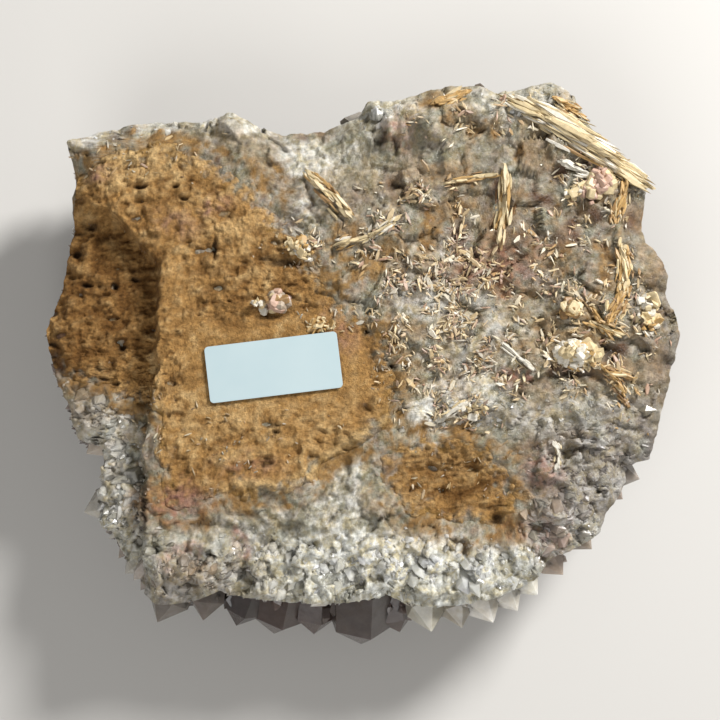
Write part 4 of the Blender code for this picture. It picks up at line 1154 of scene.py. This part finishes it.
# Each sheaf: its path, number of laths, spread, rise, lath length and width, stray and colours.
SHEAVES = {
    "barite_band": [
        ([(35, 58.8), (42, 55.4), (54, 48.2), (64, 41.2)], 14, 1.2, 0.6, 15, 2.6, 0.03, [CREAM]),
        ([(33.5, 59.5), (42, 55.6), (54, 48.4), (65, 40.8)], 210, 4.6, 1.9, 13, 0.9, 0.035,
         [CREAM, WHITE, CREAM, GOLD, TAN]),
        ([(44, 60), (52, 56), (57.5, 51)], 60, 2.6, 0.9, 5, 0.7, 0.14, [GOLD, CREAM, TAN]),
    ],
    "barite_rim_strand": [
        ([(60.8, 41), (59.6, 35.8), (58.4, 31)], 46, 2.2, 1.2, 4.6, 0.6, 0.16, [GOLD, CREAM, TAN])],
    "barite_lens_blade": [
        ([(33.3, 42.8), (33, 35), (31.6, 27.2)], 60, 2.6, 1.5, 7.6, 0.7, 0.05,
         [CREAM, GOLD, TAN, BROWNISH])],
    "barite_thin_blade": [
        ([(20.6, 40.3), (31.4, 42.2)], 30, 1.3, 1.1, 5.4, 0.5, 0.05, [CREAM, GOLD, TAN])],
    "barite_diagonal_blade": [
        ([(-11.6, 42.4), (-7, 37.6), (-2.6, 32.6)], 70, 3, 1.5, 6, 0.7, 0.09,
         [CREAM, GOLD, TAN, BROWNISH])],
    "barite_curved_blade": [
        ([(-6, 25.8), (-1.5, 27), (3.4, 28.4)], 30, 1.6, 1.1, 4.4, 0.6, 0.1, [CREAM, WHITE, GOLD]),
        ([(1.4, 27.4), (5.2, 29.6), (9.2, 32.4)], 32, 1.6, 1.2, 4.4, 0.6, 0.1, [CREAM, WHITE, GOLD])],
    "barite_side_blade": [
        ([(45.4, 45), (52.4, 41.8)], 26, 1.9, 1.2, 4.4, 0.7, 0.1, [WHITE, CREAM, CREAM])],
    "barite_feather_band": [
        ([(58.9, 27), (60.2, 20.4), (59.6, 14)], 80, 2.8, 1.3, 4.2, 0.7, 0.24,
         [CREAM, GOLD, GOLD, TAN]),
        ([(60.2, 16.4), (58.2, 12.6), (56, 8)], 60, 2.8, 1.3, 4, 0.7, 0.26, [GOLD, TAN, CREAM])],
    "barite_crossed_blades": [
        ([(52, 12), (56.8, 4.8)], 26, 1.4, 1.5, 5, 0.6, 0.07, [GOLD, CREAM]),
        ([(51, 8.4), (59, 5.2)], 26, 1.4, 1.8, 5, 0.6, 0.07, [CREAM, GOLD])],
    "barite_spray": [
        ([(54, -1.4), (58.8, -7)], 26, 1.3, 1.7, 4.4, 0.55, 0.16, [GOLD, CREAM, TAN]),
        ([(54.8, -2.2), (61.6, -4.6)], 24, 1.3, 1.4, 4.2, 0.55, 0.16, [GOLD, TAN, CREAM])],
    "barite_near_blade": [
        ([(56.6, -6.6), (60.6, -10.6)], 24, 1.2, 1.1, 3.4, 0.5, 0.14, [TAN, GOLD, BROWNISH])],
    "barite_white_splinter": [
        ([(32.4, 3.3), (38.8, -2.5)], 26, 1.3, 1.6, 5.4, 0.6, 0.07, [WHITE, WHITE, CREAM])],
    "barite_white_curve": [
        ([(43.7, -18.4), (44.7, -21.2), (44.3, -24.4)], 26, 1.4, 1.2, 3, 0.55, 0.12, [WHITE, CREAM])],
    "barite_white_blade": [
        ([(18.2, -13.6), (24.6, -9.4)], 30, 1.8, 1.3, 4.6, 0.8, 0.09, [WHITE, CREAM])],
    "barite_top_splinter": [
        ([(17.2, 58.6), (24.8, 62)], 44, 2.6, 1.3, 4.8, 0.8, 0.12, [GOLD, CREAM, TAN])],
}

# Each heap: centre, half widths, turn, rise, number of grains, grain, flatness and colours.
HEAPS = {
    "barite_block_cluster": [
        ((54.8, 40.8), 3, 2.6, 0.3, 2.6, 34, 1.9, 0.8, [PINKISH, CREAM, CREAM]),
        ((52.6, 37.4), 2.2, 1.8, 0.8, 2, 12, 1.6, 0.8, [PINKISH, CREAM]),
        ((49.6, 38.4), 2.6, 1.4, 0.3, 1.2, 12, 2, 0.3, [WHITE, CREAM])],
    "barite_leaf_cluster": [
        ((64.6, 11), 3.4, 3, 1, 2.2, 24, 2.8, 0.2, [WHITE, CREAM, CREAM]),
        ((65.8, 8.2), 2.6, 2.4, 0.2, 1.8, 16, 2.4, 0.2, [CREAM, WHITE, GOLD])],
    "barite_cream_knob": [
        ((47.6, 1.4), 3.4, 2, 0.1, 3.4, 60, 1.9, 0.6, [WHITE, WHITE, CREAM]),
        ((49, 1), 4.6, 3, 0.1, 2.2, 44, 2.2, 0.2, [CREAM, WHITE, CREAM, GOLD]),
        ((52, 0.5), 2.2, 1.8, -0.5, 2.4, 14, 3.2, 0.4, [CREAM, WHITE, GOLD])],
    "barite_tan_nugget": [((47.2, 10.9), 2.7, 1.6, -0.2, 2.2, 22, 1.7, 0.8, [TAN, GOLD, CREAM])],
    "barite_white_blade": [((25.2, -11.8), 3.4, 1.7, 0.1, 1.4, 22, 1.5, 0.5, [WHITE, CREAM, CREAM])],
    "barite_grey_knob": [
        ((-18.2, 13.2), 2.1, 1.8, 0.4, 2.8, 46, 1.9, 0.7, [GREYISH, CREAM, PINKISH, TAN]),
        ((-22.4, 12.3), 2, 0.9, 2.6, 2.6, 12, 1.5, 0.5, [CREAM, WHITE])],
    "barite_yellow_cluster": [
        ((-14.6, 26.4), 2.9, 1.7, 0.5, 2, 26, 1.6, 0.4, [CREAM, GOLD, CREAM]),
        ((-12.4, 24.6), 2.6, 1.5, -0.6, 1.8, 22, 1.5, 0.4, [CREAM, GOLD, WHITE])],
    "barite_pale_patch": [((-8.4, 7.9), 3.1, 1.6, 0.2, 0.8, 34, 1.5, 0.2, [CREAM, GOLD, CREAM])],
}
# Barite: satin and pearly on its cleavages, faintly see-through at thin edges.
barite = tinted_material(
    "barite", {"Roughness": 0.5, "IOR": 1.64}, grain=1.2, contrast=0.2, bump=(0.5, 0.08),
)
seeded = random.Random(12)
for group in sorted(set(SHEAVES) | set(HEAPS)):
    copies = []
    for entry in SHEAVES.get(group, []):
        copies += sheaf(seeded, *entry)
    for entry in HEAPS.get(group, []):
        copies += heap(seeded, *entry)
    shape = copies_mesh(group + "_laths", TABLETS, copies)
    add_piece(group + "_laths", shape, barite, [group])

# Crested barite. Rounded tablets that stand on edge side by side, like a cock's comb, among the
# crystals of the hidden side. Their feet are held by the quartz.
CREST_SHADES = ["#D9C7A6", "#CDB792", "#E4D8C0"]
CREST_TABLETS = 26
CREST_MIDDLE = CREST_TABLETS // 2
CREST_STEP = 0.42


def disc(sides):
    """A rounded tablet of radius one and thickness one, with a ragged border."""
    bm = cone(sides, 1.0, 0.97)
    for index, vert in enumerate(bm.verts):
        ragged = 1.0 - 0.14 * abs(math.sin(2.7 * (index // 2)) * math.sin(1.3 * (index // 2)))
        vert.co.x *= ragged
        vert.co.y *= ragged
    return triangles(bm)


CREST_DISC = [disc(26)]
for name, x, y, lowest, heading, radius in CRESTS:
    copies = []
    for index in range(CREST_TABLETS):
        step = index - CREST_MIDDLE
        size = radius * (1.0 - 0.4 * (abs(step) / CREST_MIDDLE) ** 2) * seeded.uniform(0.78, 0.98)
        turn = math.radians(heading + step * 3.4 + seeded.gauss(0.0, 5.0))
        across = heading_vector(heading + 90.0, 0.0) * (step * CREST_STEP)
        middle = Vector((x, y, lowest + size + 0.3)) + across
        tilt = math.radians(90.0 + step * 1.6 + seeded.gauss(0.0, 4.0))
        place = (Matrix.Translation(middle) @ Matrix.Rotation(turn, 4, "Z")
                 @ Matrix.Rotation(tilt, 4, "X")
                 @ Matrix.Diagonal((size, size, seeded.uniform(0.4, 0.8), 1.0)))
        hue = seeded.choice(CREST_SHADES)
        copies.append((0, place, shaded(linear(hue), seeded.uniform(0.85, 1.1))))
    shape = copies_mesh(name + "_tablets", CREST_DISC, copies)
    add_piece(name + "_tablets", shape, barite, [name])

# Chips. Thin splinters of broken barite and quartz that still stick to the face in tufts, thickest
# on the middle of the plateau and round the blades. Those of a tuft lie roughly the same way.
CHIP_SHADES = ["#D9C49A", "#CDB488", "#E0D4B8", "#B08F60", "#CDB48A", "#D8CEBA", "#B29078"]
CHIP_KINDS = [0, 5, 6, 7, 9, 12]
CHIP_TRIES = 52000
seeded = random.Random(14)
found, spots_x, spots_y, tints = scattered(seeded, CHIP_TRIES, -70.0, 72.0, -42.0, 63.0)
chance = chip_cover(spots_x, spots_y)
flow = 5.0 * speckle(spots_x, spots_y, 6.0, 2, 20.0)
held = smooth_step(crust_cover(spots_x, spots_y), -1.0, 2.0)
copies = []
for index, (px, py) in enumerate(found):
    if seeded.random() > 1.1 * chance[index]:
        continue
    point, _ = ground(px, py)
    if point is None:
        continue
    long = seeded.uniform(0.8, 1.85) ** 2.1 * (1.0 - 0.35 * held[index])
    kind = seeded.choice(CHIP_KINDS)
    place = lay(point + Vector((0.0, 0.0, 0.12 * long)), flow[index] + seeded.gauss(0.0, 0.6),
                seeded.gauss(0.0, 0.35), seeded.gauss(0.0, 0.7),
                (1.15 * long, long * seeded.uniform(0.15, 0.42), seeded.uniform(0.12, 0.3)))
    hue = seeded.choice(CHIP_SHADES)
    bright = np.array([seeded.uniform(0.6, 1.0) - 0.4 * held[index]])
    tint = mixed(tints[index:index + 1], hue, bright)[0]
    copies.append((kind, place, shaded(tint, seeded.uniform(0.72, 1.18))))
chips = copies_mesh("barite_chips", TABLETS, copies)
add_piece("barite_chips", chips, barite, ["barite_pale_patch"])

# The label. A small die cut sticker of coated white paper with rounded corners, pressed onto the
# level part of the crust. It is left bare.
PAPER_THICKNESS = 0.3
CORNER_ROUNDING = 0.9
EDGE_ROUNDING = 0.05
bm = bmesh.new()
bmesh.ops.create_cube(bm, size=1.0)
bmesh.ops.scale(bm, vec=(LABEL_SIZE[0], LABEL_SIZE[1], PAPER_THICKNESS), verts=bm.verts)
corners = [edge for edge in bm.edges if abs(edge.verts[0].co.z - edge.verts[1].co.z) > 0.1]
bmesh.ops.bevel(bm, geom=corners, offset=CORNER_ROUNDING, segments=8, profile=0.5,
                affect="EDGES", material=-1)
sharp = [edge for edge in bm.edges if edge.calc_face_angle(0.0) > 1.2]
bmesh.ops.bevel(bm, geom=sharp, offset=EDGE_ROUNDING, segments=2, profile=0.5,
                affect="EDGES", material=-1)
place = (Matrix.Translation((*LABEL_CENTRE, SEAT_GAP + LABEL_SIZE[2] - PAPER_THICKNESS / 2.0))
         @ Matrix.Rotation(math.radians(LABEL_TURN), 4, "Z"))
bmesh.ops.transform(bm, matrix=place, verts=bm.verts)
label_mesh = finished(bm, "bare_label")

# Coated paper: pale with a cool cast and a faint mottle.
paper = bpy.data.materials.new("label_paper")
paper.use_nodes = True
tree = paper.node_tree
shader = tree.nodes["Principled BSDF"]
shader.inputs["Roughness"].default_value = 0.42
blend = add_node(tree, "Mix", {
    0: grainy(tree, 9.0, 3.0), 6: linear("#A8BBBF"), 7: linear("#B4C3C5")}, data_type="RGBA")
tree.links.new(blend.outputs[2], shader.inputs["Base Color"])
add_piece("bare_label", label_mesh, paper, ["catalogue_label"])

# Stage: a pale table, a soft key light from the far right, a weak fill and the photo's viewpoint.
# Places are in metres here. Each light has a name, a place, a width and a power in watts.
LIGHTS = [("key", (0.46, 0.46, 0.52), 0.24, 11.0), ("fill", (-0.25, -0.7, 0.7), 0.8, 5.0)]
LIT_POINT = Vector((0.0, 0.0, 0.03))
SKY_STRENGTH = 0.22
VIEW_DISTANCE = 0.450
VIEW_HEIGHT = math.radians(84.0)
VIEW_SHIFT = Vector((0.23 * MM, -0.1 * MM, 0.0))
bm = bmesh.new()
bmesh.ops.create_grid(bm, x_segments=1, y_segments=1, size=2.0)
table_top = put_in_scene("table_top", finished(bm, "table_top"))
pale = bpy.data.materials.new("pale_table")
pale.use_nodes = True
shader = pale.node_tree.nodes["Principled BSDF"]
shader.inputs["Base Color"].default_value = linear("#C4C1BC")
shader.inputs["Roughness"].default_value = 0.8
table_top.data.materials.append(pale)

world = bpy.data.worlds.new("studio")
bpy.context.scene.world = world
world.use_nodes = True
background = world.node_tree.nodes["Background"]
background.inputs["Color"].default_value = (1.0, 1.0, 1.0, 1.0)
background.inputs["Strength"].default_value = SKY_STRENGTH
bpy.context.scene.view_settings.view_transform = "Standard"
for name, place, width, power in LIGHTS:
    light = bpy.data.lights.new(name, "AREA")
    light.shape = "DISK"
    light.size = width
    light.energy = power
    lamp = put_in_scene(name, light)
    lamp.location = place
    lamp.rotation_euler = (LIT_POINT - Vector(place)).to_track_quat("-Z", "Y").to_euler()

camera = put_in_scene("camera", bpy.data.cameras.new("camera"))
camera.data.lens = 100.0
back = Vector((0.0, -math.cos(VIEW_HEIGHT), math.sin(VIEW_HEIGHT)))
camera.location = PLATE_ORIGIN + VIEW_SHIFT + back * VIEW_DISTANCE
camera.rotation_euler = (-back).to_track_quat("-Z", "Y").to_euler()
bpy.context.scene.camera = camera
